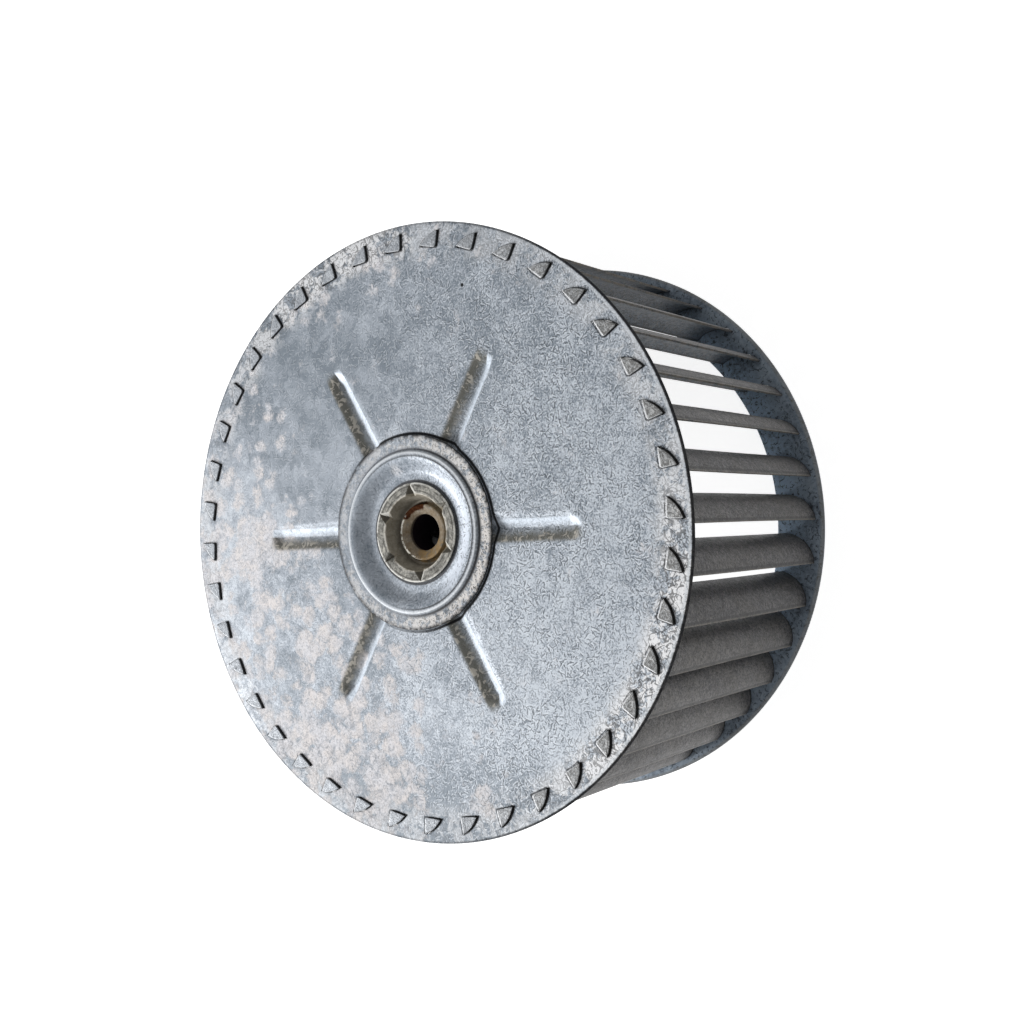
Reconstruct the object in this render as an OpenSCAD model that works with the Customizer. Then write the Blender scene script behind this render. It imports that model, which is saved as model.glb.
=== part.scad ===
/* [Wheel] */
// Outside diameter of the back plate and the inlet ring
wheel_d = 212; // [170:1:300]
// Width from the edge of the inlet lip to the outside face of the back plate
wheel_w = 110; // [70:1:200]
// Thickness of the back plate and inlet ring sheet
plate_t = 0.9; // [0.6:0.1:1.4]
// Width of the flat of the inlet ring
ring_w = 17.5; // [16.5:0.5:30]
// Depth of the turned lip of the inlet ring below its flat
lip_h = 1.2; // [1:0.1:6]

/* [Blades] */
// Number of blades
blade_n = 40; // [24:1:44]
// Thickness of the blade sheet
blade_t = 0.8; // [0.5:0.1:1]
// Radius of the arc that a blade is rolled to
blade_r = 11.5; // [9:0.5:14]
// Distance of the blade tips inside the rim
tip_inset = 3; // [1.5:0.5:8]
// Angle on the blade's arc at its tip, where 0 would be outermost
tip_a = 12; // [0:1:18]
// Angle on the blade's arc at its heel
heel_a = 95; // [70:1:100]
// Angle of the first blade about the axis
blade_turn = 0.2; // [0:0.1:15]

/* [Tabs] */
// Angle on the blade's arc where a tab starts
tab_a0 = 20; // [20:1:30]
// Angle on the blade's arc where a tab ends
tab_a1 = 62; // [50:1:66]
// Play on each side of a tab in its slot
slot_gap = 0.25; // [0.05:0.05:0.4]

/* [Ribs] */
// Number of stiffening ribs pressed into the back plate
rib_n = 6; // [3:1:8]
// Angle of the first rib
rib_turn = 32; // [0:1:59]
// Distance from the step of the hub plate out to the inner end of a rib
rib_clear = 0.5; // [0.2:0.1:3]
// Distance from the axis to the outer end of a rib
rib_out = 67; // [50:1:75]
// Depth of a rib near the hub
rib_h = 2.6; // [1:0.1:4]
// Depth of a rib where its run-out begins
rib_h_end = 1.7; // [0.5:0.1:2.5]
// Length of the run-out at the outer end of a rib
rib_run_out = 5; // [2:0.5:8]
// Half width of a rib for each unit of its depth
rib_flare = 1.75; // [1:0.05:2.5]

/* [Hub plate] */
// Outside diameter of the hub plate
hub_plate_d = 67; // [64:1:90]
// Thickness of the hub plate sheet
hub_plate_t = 1; // [0.6:0.1:1.6]
// Width of the flat flange that lies on the back plate
flange_w = 5; // [3:0.5:5.5]
// Height of the step from the flange up to the crest
step_h = 1; // [0.5:0.1:2]
// Radial run of the step
step_run = 0.8; // [0.6:0.1:2]
// Width of the crest inside the step
crest_w = 1.2; // [0.5:0.1:2]
// Drop from the crest down to the seat of the hub
dish_drop = 3.8; // [2:0.1:6]
// Width of the flat seat round the hub
seat_w = 3.2; // [2:0.1:3.5]

/* [Hub] */
// Diameter of the shaft bore
bore_d = 12.7; // [8:0.1:14]
// Diameter of the hub where it passes through the hub plate
hub_d = 33.6; // [32:0.1:36]
// Diameter of the barrel inside the wheel
barrel_d = 30; // [26:0.5:34]
// Length of the barrel below the shoulder
barrel_l = 24; // [16:1:40]
// Thickness of the shoulder under the hub plate
shoulder_h = 3; // [1.5:0.5:6]
// Play between the hub and its hole in the hub plate
hub_gap = 0.05; // [0:0.05:0.2]
// Height of the staked rim above the hub plate
rim_h = 0.8; // [0.5:0.1:2]
// How far the staked rim laps over the hub plate
rim_lap = 0.5; // [0.2:0.1:1]
// Width of the flat top of the rim
rim_w = 3.6; // [2:0.1:3.6]
// Depth of the recess inside the rim
recess_h = 6.5; // [4:0.5:10]
// Radial run of the sloped wall of the recess
recess_run = 1.8; // [0.5:0.1:1.8]
// Outside diameter of the boss round the bore
boss_d = 19.6; // [18:0.2:20]
// Height of the boss above the floor of the recess
boss_h = 2.6; // [1:0.1:4]
// Depth of the sunk mouth of the bore
mouth_h = 1.6; // [0.5:0.1:2]
// Width of the flat top of the boss
boss_flat = 0.8; // [0.4:0.1:1.2]
// Number of chisel stakes in the rim
stake_n = 6; // [3:1:8]
// Angle of the first stake
stake_turn = 8; // [0:1:59]
// Length of a stake along the radius
stake_l = 5.6; // [3:0.1:6]
// Depth of a stake at its inner end
stake_h = 3.2; // [1:0.1:4]
// Half width of a stake for each unit of its depth
stake_flare = 1.05; // [0.6:0.05:1.4]

/* [Set screw] */
// Thread diameter of the set screw
screw_d = 8; // [5:0.5:10]
// Height of the set screw above the end of the barrel
screw_up = 9; // [7:0.5:12]
// Length of the coned point of the set screw
point_l = 1.6; // [1:0.1:2.4]
// Width of the square head across its flats
head_w = 8; // [6:0.5:12]
// Length of the square head
head_l = 5; // [3:0.5:8]
// Angle of the set screw about the axis
screw_turn = 124; // [0:1:359]
// Play between the screw and its tapped hole
screw_gap = 0.05; // [0:0.05:0.2]
// Distance of the point from the shaft and of the head from the barrel
screw_stand_off = 0.5; // [0.2:0.1:2]

/* [Hidden] */
$fn = 96;
// Overshoot of a cut past the face that it opens
cut = 1;
// Height of a V-shaped bar above its keel, well clear of the sheet
v_top = 80;

wheel_r = wheel_d / 2;
inlet_r = wheel_r - ring_w;
plate_under = wheel_w - plate_t;
ring_top = lip_h + plate_t;

// The tip of a blade's centre line lies tip_inset inside the rim
tip_r = wheel_r - tip_inset;
arc_x = sqrt(pow(tip_r, 2) - pow(blade_r * sin(tip_a), 2)) - blade_r * cos(tip_a);
blade_pitch = 360 / blade_n;
tab_corner = blade_r * [cos(tab_a1), sin(tab_a0)];
slot_a = slot_gap / blade_r * 180 / PI;

hub_plate_r = hub_plate_d / 2;
step_r = hub_plate_r - flange_w;
crest_r = step_r - step_run;
dish_r = crest_r - crest_w;
flange_z = wheel_w + hub_plate_t;
crest_z = flange_z + step_h;
seat_z = crest_z - dish_drop;
hub_r = hub_d / 2;
seat_r = hub_r + seat_w;

// The ribs start under the flange of the hub plate, clear of the plate's hole
rib_in = step_r + rib_clear;

shoulder_z = seat_z - hub_plate_t;
barrel_z = shoulder_z - shoulder_h - barrel_l;
rim_z = seat_z + rim_h;
rim_in_r = hub_r - rim_w;
recess_r = rim_in_r - recess_run;
recess_z = rim_z - recess_h;
boss_r = boss_d / 2;
boss_z = recess_z + boss_h;
bore_r = bore_d / 2;
screw_z = barrel_z + screw_up;

function blade_name(i) = str("blade_", i < 10 ? "0" : "", i);

// The section of a rolled sheet, from one angle to another on its arc
module rolled_section(r, t, a0, a1) {
    reach = 2 * r;
    steps = 4;
    span = [for (k = [0 : steps]) a0 + (a1 - a0) * k / steps];
    intersection() {
        difference() {
            circle(r + t / 2);
            circle(r - t / 2);
        }
        polygon(concat([[0, 0]], [for (a = span) reach * [cos(a), sin(a)]]));
    }
}

// A flat shape made solid between two heights
module layer(z0, z1) {
    translate([0, 0, z0])
        linear_extrude(z1 - z0)
            children();
}

// The children placed in the frame of one blade's arc
module at_blade(i) {
    rotate(blade_turn + (i - 1) * blade_pitch)
        translate([arc_x, 0, 0])
            children();
}

// A long V-shaped bar along X, whose keel lies at the depth d at x and rises with the given slope
module v_bar(x, d, slope, flare) {
    tilt = atan(slope);
    half = v_top * flare / cos(tilt);
    translate([x, 0, -d])
        rotate([0, -tilt, 0])
            rotate([90, 0, 90])
                linear_extrude(2 * wheel_r, center = true)
                    polygon([[0, 0], [half, v_top], [-half, v_top]]);
}

// One rib as a solid keel along +X: it deepens, rises slowly outwards and runs out
module rib_keel() {
    slow_rise = (rib_h - rib_h_end) / (rib_out - rib_run_out - rib_in - rib_h);
    intersection() {
        v_bar(rib_in, 0, -1, rib_flare);
        v_bar(rib_in + rib_h, rib_h, slow_rise, rib_flare);
        v_bar(rib_out, 0, rib_h_end / rib_run_out, rib_flare);
    }
}

// All ribs, sunk by a depth below the outside face of the back plate
module ribs(sunk) {
    for (k = [0 : rib_n - 1])
        rotate(rib_turn + k * 360 / rib_n)
            translate([0, 0, wheel_w - sunk])
                rib_keel();
}

// The slots that the tabs of all blades pass through, between two heights
module slots(z0, z1) {
    for (i = [1 : blade_n])
        at_blade(i)
            layer(z0, z1)
                rolled_section(blade_r, blade_t + 2 * slot_gap, tab_a0 - slot_a, tab_a1 + slot_a);
}

// Closed disc with pressed ribs, a slot for each blade and a hole under the hub plate
module back_plate() {
    rib_skin = plate_t * sqrt(1 + pow(rib_flare, 2)) / rib_flare;
    color("lightsteelblue")
        difference() {
            union() {
                translate([0, 0, plate_under])
                    cylinder(r = wheel_r, h = plate_t);
                intersection() {
                    ribs(rib_skin);
                    cylinder(r = wheel_r, h = plate_under + plate_t / 2);
                }
            }
            ribs(0);
            translate([0, 0, plate_under - cut])
                cylinder(r = dish_r, h = plate_t + 2 * cut);
            slots(plate_under - cut, wheel_w + cut);
        }
}

// Flat ring with a turned outer lip, which the wheel stands on, and a slot for each blade
module inlet_ring() {
    color("slategray")
        difference() {
            rotate_extrude()
                polygon([
                    [inlet_r, lip_h],
                    [wheel_r - plate_t, lip_h],
                    [wheel_r - plate_t, 0],
                    [wheel_r, 0],
                    [wheel_r, ring_top],
                    [inlet_r, ring_top]
                ]);
            slots(lip_h - cut, ring_top + cut);
        }
}

// A tab's end seen from above, folded flat towards the hollow side of the blade
module folded_tab() {
    intersection() {
        circle(blade_r + blade_t / 2);
        translate(tab_corner)
            square(2 * blade_r);
    }
}

// Rolled blade with a tab through each plate, folded over outside
module blade(i) {
    color("dimgray")
        at_blade(i)
            union() {
                layer(lip_h - blade_t, lip_h)
                    folded_tab();
                layer(lip_h, ring_top)
                    rolled_section(blade_r, blade_t, tab_a0, tab_a1);
                layer(ring_top, plate_under)
                    rolled_section(blade_r, blade_t, tip_a, heel_a);
                layer(plate_under, wheel_w)
                    rolled_section(blade_r, blade_t, tab_a0, tab_a1);
                layer(wheel_w, wheel_w + blade_t)
                    folded_tab();
            }
}

// Pressed plate with a flange, a crest and a dish down to the hub
module hub_plate() {
    dish_steps = 10;
    dish = [
        for (k = [0 : dish_steps])
            [
                seat_r + (dish_r - seat_r) * k / dish_steps,
                seat_z + dish_drop * (1 - cos(180 * k / dish_steps)) / 2
            ]
    ];
    upper = concat(
        [[hub_r + hub_gap, seat_z]],
        dish,
        [[crest_r, crest_z], [step_r, flange_z], [hub_plate_r, flange_z]]
    );
    lower = [for (k = [len(upper) - 1 : -1 : 0]) upper[k] - [0, hub_plate_t]];
    color("gainsboro")
        rotate_extrude()
            polygon(concat(upper, lower));
}

// The cut of one chisel stake along +X, deepest where it breaks through to the recess
module stake() {
    intersection() {
        translate([0, 0, rim_z])
            v_bar(hub_r, 0, stake_h / stake_l, stake_flare);
        translate([hub_r - stake_l, -hub_r, 0])
            cube([stake_l, 2 * hub_r, rim_z + cut]);
    }
}

// Turned hub with a staked rim, a recess round the bore and a barrel inside the wheel
module hub() {
    color("tan")
        difference() {
            rotate_extrude()
                polygon([
                    [0, barrel_z],
                    [barrel_d / 2, barrel_z],
                    [barrel_d / 2, shoulder_z - shoulder_h],
                    [seat_r, shoulder_z - shoulder_h],
                    [seat_r, shoulder_z],
                    [hub_r, shoulder_z],
                    [hub_r, seat_z],
                    [hub_r + rim_lap, seat_z],
                    [hub_r + rim_lap, rim_z],
                    [rim_in_r, rim_z],
                    [recess_r, recess_z],
                    [boss_r, recess_z],
                    [boss_r, boss_z],
                    [boss_r - boss_flat, boss_z],
                    [bore_r, boss_z - mouth_h],
                    [0, boss_z - mouth_h]
                ]);
            translate([0, 0, barrel_z - cut])
                cylinder(r = bore_r, h = boss_z - barrel_z + 2 * cut);
            for (k = [0 : stake_n - 1])
                rotate(stake_turn + k * 360 / stake_n)
                    stake();
            translate([0, 0, screw_z])
                rotate([0, 90, screw_turn])
                    cylinder(d = screw_d + 2 * screw_gap, h = barrel_d);
        }
}

// Square-headed screw that clamps the shaft, with a coned point
module set_screw() {
    point_r = bore_r + screw_stand_off;
    head_r = barrel_d / 2 + screw_stand_off;
    color("darkslategray")
        translate([0, 0, screw_z])
            rotate([0, 90, screw_turn])
                union() {
                    translate([0, 0, point_r])
                        cylinder(d1 = screw_d - 2 * point_l, d2 = screw_d, h = point_l);
                    translate([0, 0, point_r + point_l])
                        cylinder(d = screw_d, h = head_r - point_r - point_l);
                    translate([-head_w / 2, -head_w / 2, head_r])
                        cube([head_w, head_w, head_l]);
                }
}

back_plate();
inlet_ring();
hub_plate();
hub();
set_screw();
for (i = [1 : blade_n])
    blade(i);
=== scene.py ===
"""A blower wheel of zinc-coated sheet: its finishes, pressed ribs, folded tabs and plain stage."""

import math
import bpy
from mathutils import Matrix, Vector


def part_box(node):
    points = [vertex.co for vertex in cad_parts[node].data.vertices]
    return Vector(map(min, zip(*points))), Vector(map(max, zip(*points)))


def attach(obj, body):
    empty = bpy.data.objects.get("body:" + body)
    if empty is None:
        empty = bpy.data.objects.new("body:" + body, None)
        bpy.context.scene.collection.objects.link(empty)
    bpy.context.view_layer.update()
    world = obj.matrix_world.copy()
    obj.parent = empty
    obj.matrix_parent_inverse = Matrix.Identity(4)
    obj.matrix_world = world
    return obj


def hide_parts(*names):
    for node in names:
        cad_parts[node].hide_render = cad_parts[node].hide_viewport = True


bl_info = {
    "name": "Blower Wheel",
    "version": (1, 0, 0),
    "blender": (4, 5, 0),
    "location": "View3D > Sidebar > Blower Wheel",
    "description": "Builds a forward-curved blower wheel with its sheet-steel finishes",
    "category": "Object",
}

from functools import reduce

import bmesh
import bpy
import numpy as np
from bpy.props import FloatProperty, FloatVectorProperty, IntProperty, PointerProperty
from mathutils import Matrix, Vector, noise
from mathutils.geometry import delaunay_2d_cdt

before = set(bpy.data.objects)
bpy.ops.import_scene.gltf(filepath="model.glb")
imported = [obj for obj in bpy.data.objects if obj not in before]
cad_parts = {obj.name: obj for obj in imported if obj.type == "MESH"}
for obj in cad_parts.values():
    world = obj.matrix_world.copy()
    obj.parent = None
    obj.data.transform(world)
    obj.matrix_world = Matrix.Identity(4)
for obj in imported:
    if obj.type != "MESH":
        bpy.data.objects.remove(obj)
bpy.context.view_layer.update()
MM = 0.001
SLOT_SLACK = 0.05 * MM  # play of a tab on the inside of its slot
SLOT_CLEAR = 0.35 * MM  # distance of the sheet's grid points from a slot
RIM_CLEAR = 0.3 * MM  # distance of the sheet's grid points from its rims
RIB_REACH = 9 * MM  # half width of the strip that a rib can change
RIB_TRIM = 0.02 * MM  # taken off a rib's depth, so that its shoulder ends in the flat
STAKE_CREASE = 0.08 * MM  # rounding of the crease along a stake


def length(name, description, default):
    """A size in metres, shown with its unit"""
    return FloatProperty(
        name=name, description=description, default=default, unit="LENGTH", precision=5
    )


def turn(name, description, degrees):
    """An angle"""
    return FloatProperty(
        name=name, description=description, default=math.radians(degrees), subtype="ANGLE"
    )


def count(name, description, default):
    """A whole number of like features"""
    return IntProperty(name=name, description=description, default=default, min=1)


def number(name, description, default):
    """A plain number"""
    return FloatProperty(name=name, description=description, default=default)


def point(name, description, default):
    """A place in the scene"""
    return FloatVectorProperty(name=name, description=description, default=default, unit="LENGTH")


def colour(name, description, default):
    """A finish colour"""
    return FloatVectorProperty(
        name=name, description=description, default=default, subtype="COLOR", min=0, max=1
    )


class WheelSizes(bpy.types.PropertyGroup):
    """Sizes that several pieces share"""

    radius: length("Radius", "Outside radius of the wheel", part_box("back_plate")[1].x)
    plate_top: length(
        "Plate top", "Height of the back plate's outside face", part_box("back_plate")[1].z
    )
    sheet: length("Plate sheet", "Thickness of the back plate and the inlet ring", 0.9 * MM)
    ring_top: length(
        "Ring top", "Height of the inlet ring's inside face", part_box("inlet_ring")[1].z
    )


class BackPlateSizes(bpy.types.PropertyGroup):
    """Sizes of the back plate and its pressed ribs"""

    hole: length("Hole", "Radius of the hole under the hub plate", 26.5 * MM)
    rib_count: count("Ribs", "Number of pressed ribs", 6)
    rib_turn: turn("Rib turn", "Angle of the first rib", 32)
    rib_in: length("Rib start", "Distance from the axis to a rib's inner end", 29 * MM)
    rib_out: length("Rib end", "Distance from the axis to a rib's outer end", 67 * MM)
    rib_depth: length("Rib depth", "Depth of a rib near the hub", 2.6 * MM)
    rib_depth_end: length("Outer rib depth", "Depth of a rib where its run-out begins", 2.1 * MM)
    rib_run_out: length("Rib run-out", "Length of the run-out at a rib's outer end", 4 * MM)
    rib_flare: number("Rib flare", "Half width of a rib for each unit of depth", 1.75)
    rib_crease: length("Rib crease", "Rounding of the crease along a rib", 0.25 * MM)
    rib_shoulder: length("Rib shoulder", "Rounding where a rib leaves the flat", 0.45 * MM)
    wave: length("Wave", "How far the sheet is out of true", 0.12 * MM)
    grid: length("Grid", "Spacing of the points on the flat sheet", 2.2 * MM)


class BladeSizes(bpy.types.PropertyGroup):
    """Sizes of the blades and their tabs"""

    blades: count("Blades", "Number of blades", 40)
    sheet: length("Blade sheet", "Thickness of a blade", 0.8 * MM)
    roll: length("Roll radius", "Radius of the arc that a blade is rolled to", 11.5 * MM)
    tip_inset: length("Tip inset", "Distance of the blade tips inside the rim", 3 * MM)
    tip: turn("Tip", "Angle on the blade's arc at its tip", 12)
    heel: turn("Heel", "Angle on the blade's arc at its heel", 95)
    first: turn("First blade", "Angle of the first blade about the axis", 0.2)
    tab_start: turn("Tab start", "Angle on the blade's arc where a tab starts", 20)
    tab_end: turn("Tab end", "Angle on the blade's arc where a tab ends", 62)
    fold: length("Fold radius", "Rounding along the fold of a tab", 0.3 * MM)
    edge: length("Tab edge", "Rounding of a tab's cut edges", 0.12 * MM)
    gap: length("Slot gap", "Open width left outside a tab in its slot", 0.12 * MM)
    bow: length("Bow", "How far a blade may be bent out of true halfway", 0.35 * MM)


class InletRingSizes(bpy.types.PropertyGroup):
    """Sizes of the inlet ring"""

    inner: length("Inner radius", "Radius of the inlet", 88.5 * MM)
    bend: length("Bend", "Outside bend radius of the turned lip", 1.1 * MM)


class HubPlateSizes(bpy.types.PropertyGroup):
    """Sizes of the pressed plate round the hub"""

    radius: length("Radius", "Outside radius of the hub plate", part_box("hub_plate")[1].x)
    crest_top: length("Crest", "Height of the crest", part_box("hub_plate")[1].z)
    sheet: length("Hub plate sheet", "Thickness of the hub plate", 1 * MM)
    step: length("Step", "Height of the step from the flange to the crest", 1 * MM)
    step_run: length("Step run", "Radial run of the step", 0.8 * MM)
    flange: length("Flange", "Width of the flat flange", 5 * MM)
    crest: length("Crest width", "Width of the crest inside the step", 1.2 * MM)
    drop: length("Drop", "Drop from the crest to the seat of the hub", 3.8 * MM)
    seat: length("Seat", "Width of the flat seat round the hub", 3.2 * MM)
    hole: length("Hole", "Radius of the hole for the hub", 16.85 * MM)
    lift: length("Lift", "Gap under the flange's outer edge", 0.3 * MM)


class HubSizes(bpy.types.PropertyGroup):
    """Sizes of the turned hub"""

    radius: length("Radius", "Radius of the hub in the hub plate", 16.8 * MM)
    rim_top: length("Rim top", "Height of the staked rim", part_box("hub")[1].z)
    end: length("Barrel end", "Height of the barrel's free end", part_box("hub")[0].z)
    shoulder: length("Shoulder", "Radius of the shoulder under the hub plate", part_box("hub")[1].x)
    shoulder_h: length("Shoulder height", "Thickness of the shoulder", 3 * MM)
    barrel: length("Barrel", "Radius of the barrel", 15 * MM)
    bore: length("Bore", "Radius of the shaft bore", 6.35 * MM)
    rim_h: length("Rim height", "Height of the rim above the hub plate", 0.8 * MM)
    rim_lap: length("Rim lap", "How far the rim laps over the hub plate", 0.5 * MM)
    rim_w: length("Rim width", "Width of the rim's flat top", 3.6 * MM)
    recess: length("Recess", "Depth of the recess inside the rim", 6.5 * MM)
    recess_run: length("Recess run", "Radial run of the recess wall", 1.8 * MM)
    boss: length("Boss", "Outside radius of the boss round the bore", 9.8 * MM)
    boss_h: length("Boss height", "Height of the boss above the recess floor", 2.6 * MM)
    mouth: length("Mouth", "Depth of the sunk mouth of the bore", 1.6 * MM)
    boss_flat: length("Boss flat", "Width of the flat top of the boss", 0.8 * MM)
    stakes: count("Stakes", "Number of chisel stakes in the rim", 6)
    stake_turn: turn("Stake turn", "Angle of the first stake", 8)
    stake_l: length("Stake length", "Length of a stake along the radius", 5.6 * MM)
    stake_h: length("Stake depth", "Depth of a stake at its inner end", 3.2 * MM)
    stake_flare: number("Stake flare", "Half width of a stake for each unit of depth", 1.05)


class SetScrewSizes(bpy.types.PropertyGroup):
    """Sizes of the set screw"""

    thread: length("Thread", "Outside radius of the thread", 4 * MM)
    pitch: length("Pitch", "Pitch of the thread", 1.25 * MM)
    head: length("Head", "Width of the square head across its flats", 8 * MM)
    head_l: length("Head length", "Length of the square head", 5 * MM)
    point: length("Point", "Length of the coned point", 1.6 * MM)


class Finishes(bpy.types.PropertyGroup):
    """Colours of the surfaces"""

    zinc_dark: colour("Dark zinc", "Darkest flakes of the zinc coating", (0.20, 0.235, 0.275))
    zinc: colour("Zinc", "Middle tone of the zinc coating", (0.38, 0.42, 0.475))
    zinc_light: colour("Light zinc", "Lightest flakes of the zinc coating", (0.60, 0.65, 0.71))
    oxide: colour("White rust", "Pale powdery oxide on the zinc", (0.94, 0.89, 0.875))
    # olive dirt in the ribs, laid on the rib walls turned away from the key lamp, so it is partly
    # painted shade
    grime: colour("Grime", "Olive grime in the ribs", (0.165, 0.158, 0.13))
    blade: colour("Blade steel", "Dull outside faces of the blades", (0.078, 0.079, 0.087))
    blade_inner: colour("Blade zinc", "Bluish inside faces of the blades", (0.085, 0.11, 0.14))
    ring: colour("Ring zinc", "Dull bluish faces of the inlet ring", (0.20, 0.24, 0.29))
    tab: colour("Tab film", "Brown film on the folded tabs", (0.86, 0.82, 0.76))
    hub: colour("Hub steel", "Turned steel of the hub", (0.24, 0.235, 0.215))
    film: colour("Hub film", "Beige film in the recess of the hub", (0.35, 0.31, 0.24))
    rust: colour("Rust", "Brown rust round the boss", (0.045, 0.016, 0.008))
    tan: colour("Tan rust", "Light rust on the boss", (0.42, 0.27, 0.11))
    black: colour("Black oxide", "Black oxide of the set screw", (0.012, 0.012, 0.013))


class StageSettings(bpy.types.PropertyGroup):
    """Camera, lamps and floor"""

    eye: point("Eye", "Place of the camera", (0.0067, -0.2722, 0.4532))
    aim: point("Aim", "Point that the camera looks at", (0.0067, -0.0039, 0.055))
    roll: turn("Roll", "Turn of the camera about its line of sight", 90.57)
    lens: number("Lens", "Focal length in millimetres", 44.7)
    key: number("Key", "Power of the key lamp in watts", 13)
    fill: number("Fill", "Power of the fill lamp in watts", 0.25)
    sky: number("Sky", "Strength of the sky's light on the object", 0.3)


class Tone:
    """Fixed colours of marks, stains and shaded places"""

    powder = (0.88, 0.88, 0.92)
    powder_grey = (0.50, 0.49, 0.50)
    stroke_light = (0.80, 0.85, 0.91)
    stroke_dark = (0.075, 0.088, 0.105)
    chalk = (0.95, 0.95, 0.96)
    pit = (0.07, 0.07, 0.072)
    rubbed_zinc = (0.82, 0.90, 1.0)
    # painted highlight on the rib walls turned to the key lamp, with darker streaks in it
    rubbed_streak = (0.30, 0.36, 0.43)
    dry_fleck = (0.64, 0.60, 0.53)
    # painted shade along the keel of each rib
    crease = (0.05, 0.05, 0.048)
    # painted highlight just inside the back plate's rim
    rim_light = (0.80, 0.84, 0.88)
    shadow = (0.012, 0.012, 0.013)
    # painted highlight on the side of the dish turned to the key lamp
    slope = (0.80, 0.86, 0.95)
    patch = (0.86, 0.86, 0.88)
    plate_stroke_light = (0.74, 0.79, 0.85)
    plate_stroke_dark = (0.10, 0.11, 0.13)
    flange_chalk = (0.92, 0.88, 0.84)
    flange_fleck = (0.09, 0.085, 0.08)
    # painted highlight along the crest of the hub plate
    crest = (0.84, 0.87, 0.90)
    # painted shade and a painted highlight along the step of the hub plate
    step_dark = (0.025, 0.025, 0.027)
    step_light = (0.86, 0.89, 0.92)
    # painted shade in the creases of the hub plate and round the hub
    crevice = (0.02, 0.02, 0.022)
    steel_dark = (0.06, 0.056, 0.045)
    steel_light = (0.52, 0.50, 0.44)
    tool_line = (0.05, 0.047, 0.04)
    # painted highlight along the edges of the hub's rim
    worn_edge = (0.84, 0.83, 0.79)
    # painted highlight and painted shade on the walls of the stakes
    stake_face = (0.62, 0.61, 0.57)
    stake_keel = (0.055, 0.048, 0.035)
    boss = (0.13, 0.095, 0.055)
    rust_light = (0.075, 0.03, 0.014)
    # painted shade at the boss's edge
    boss_line = (0.04, 0.033, 0.022)
    boss_dash = (0.92, 0.89, 0.80)
    # painted shadow round the hub and at the boss's foot
    groove = (0.02, 0.018, 0.014)
    # painted shade in the bore
    bore = (0.012, 0.007, 0.012)
    blade_dark = (0.018, 0.017, 0.016)
    blade_light = (0.26, 0.25, 0.24)
    blade_film = (0.082, 0.075, 0.064)
    inner_dark = (0.02, 0.028, 0.04)
    inner_light = (0.17, 0.22, 0.28)
    blade_scratch = (0.010, 0.010, 0.011)
    blade_scuff = (0.25, 0.24, 0.235)
    blade_dust = (0.27, 0.245, 0.205)
    blade_lip = (0.22, 0.195, 0.16)
    # painted shade along a blade's edges and against the plates
    blade_edge = (0.008, 0.008, 0.009)
    tab_dark = (0.22, 0.24, 0.265)
    tab_middle = (0.42, 0.45, 0.49)
    tab_light = (0.70, 0.73, 0.77)
    tab_crush = (0.075, 0.070, 0.064)
    # painted highlight along the tab edges turned to the key lamp
    tab_rubbed = (0.88, 0.89, 0.91)
    neck = (0.012, 0.011, 0.010)
    ring_dark = (0.04, 0.05, 0.065)
    ring_light = (0.36, 0.41, 0.46)
    inlet_glint = (0.44, 0.57, 0.72)
    ring_scratch = (0.012, 0.014, 0.017)
    ring_edge = (0.13, 0.125, 0.115)
    ring_lip = (0.20, 0.195, 0.18)
    screw_worn = (0.05, 0.045, 0.04)


def sizes(kind):
    """The settings of one kind in the scene"""
    return getattr(bpy.context.scene, kind)


def linked(name, data):
    """A new object in the scene"""
    thing = bpy.data.objects.new(name, data)
    bpy.context.scene.collection.objects.link(thing)
    return thing


def new_piece(name, mesh, nodes, material):
    """A finished piece on the wheel's body, in place of CAD nodes"""
    piece = linked(name, mesh)
    if not mesh.materials:
        mesh.materials.append(material)
    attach(piece, "root")
    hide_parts(*nodes)
    return piece


def opened(mesh):
    """A mesh as an editable shape"""
    shape = bmesh.new()
    shape.from_mesh(mesh)
    return shape


def stored(shape, mesh):
    """The mesh with the shape written into it; the shape is freed"""
    shape.to_mesh(mesh)
    shape.free()
    return mesh


def smoothed(mesh, sharp):
    """The mesh shaded smooth, but for its edges sharper than an angle in degrees"""
    mesh.shade_smooth()
    mesh.set_sharp_from_angle(angle=math.radians(sharp))
    return mesh


def baked(piece):
    """The piece's mesh with its modifiers applied, as a mesh of its own"""
    seen = piece.evaluated_get(bpy.context.evaluated_depsgraph_get())
    mesh = bpy.data.meshes.new_from_object(seen)
    bpy.data.objects.remove(piece)
    return mesh


def set_values(mesh, **layers):
    """Stores layers of values, one value for each point of the mesh"""
    for name, values in layers.items():
        layer = mesh.attributes.new(name, "FLOAT", "POINT")
        layer.data.foreach_set("value", np.asarray(values, np.float32))


def points_of(mesh):
    """The mesh's points as an array"""
    co = np.empty(len(mesh.vertices) * 3, np.float32)
    mesh.vertices.foreach_get("co", co)
    return co.reshape(-1, 3).astype(float)


def fade(value, start, stop):
    """0 before start, 1 after stop and even between; start may be the greater one"""
    return np.clip((value - start) / (stop - start), 0, 1)


def mound(off, width):
    """1 at no offset, falling softly to 0 on both sides"""
    return np.exp(-((off / width) ** 2))


def blob(x, y, turn_deg, distance, width):
    """A soft round patch at a place given by its angle and its distance from the axis"""
    a = math.radians(turn_deg)
    dx, dy = x - distance * MM * math.cos(a), y - distance * MM * math.sin(a)
    return mound(np.hypot(dx, dy), width * MM)


def ripple(x, y, size, seed):
    """Soft waves from -1 to 1 over flat points"""
    return np.array([noise.noise(Vector((a / size, b / size, seed))) for a, b in zip(x, y)])


def rotated(x, y, angle):
    """Flat points turned about the axis"""
    cos, sin = math.cos(angle), math.sin(angle)
    return x * cos - y * sin, x * sin + y * cos


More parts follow.
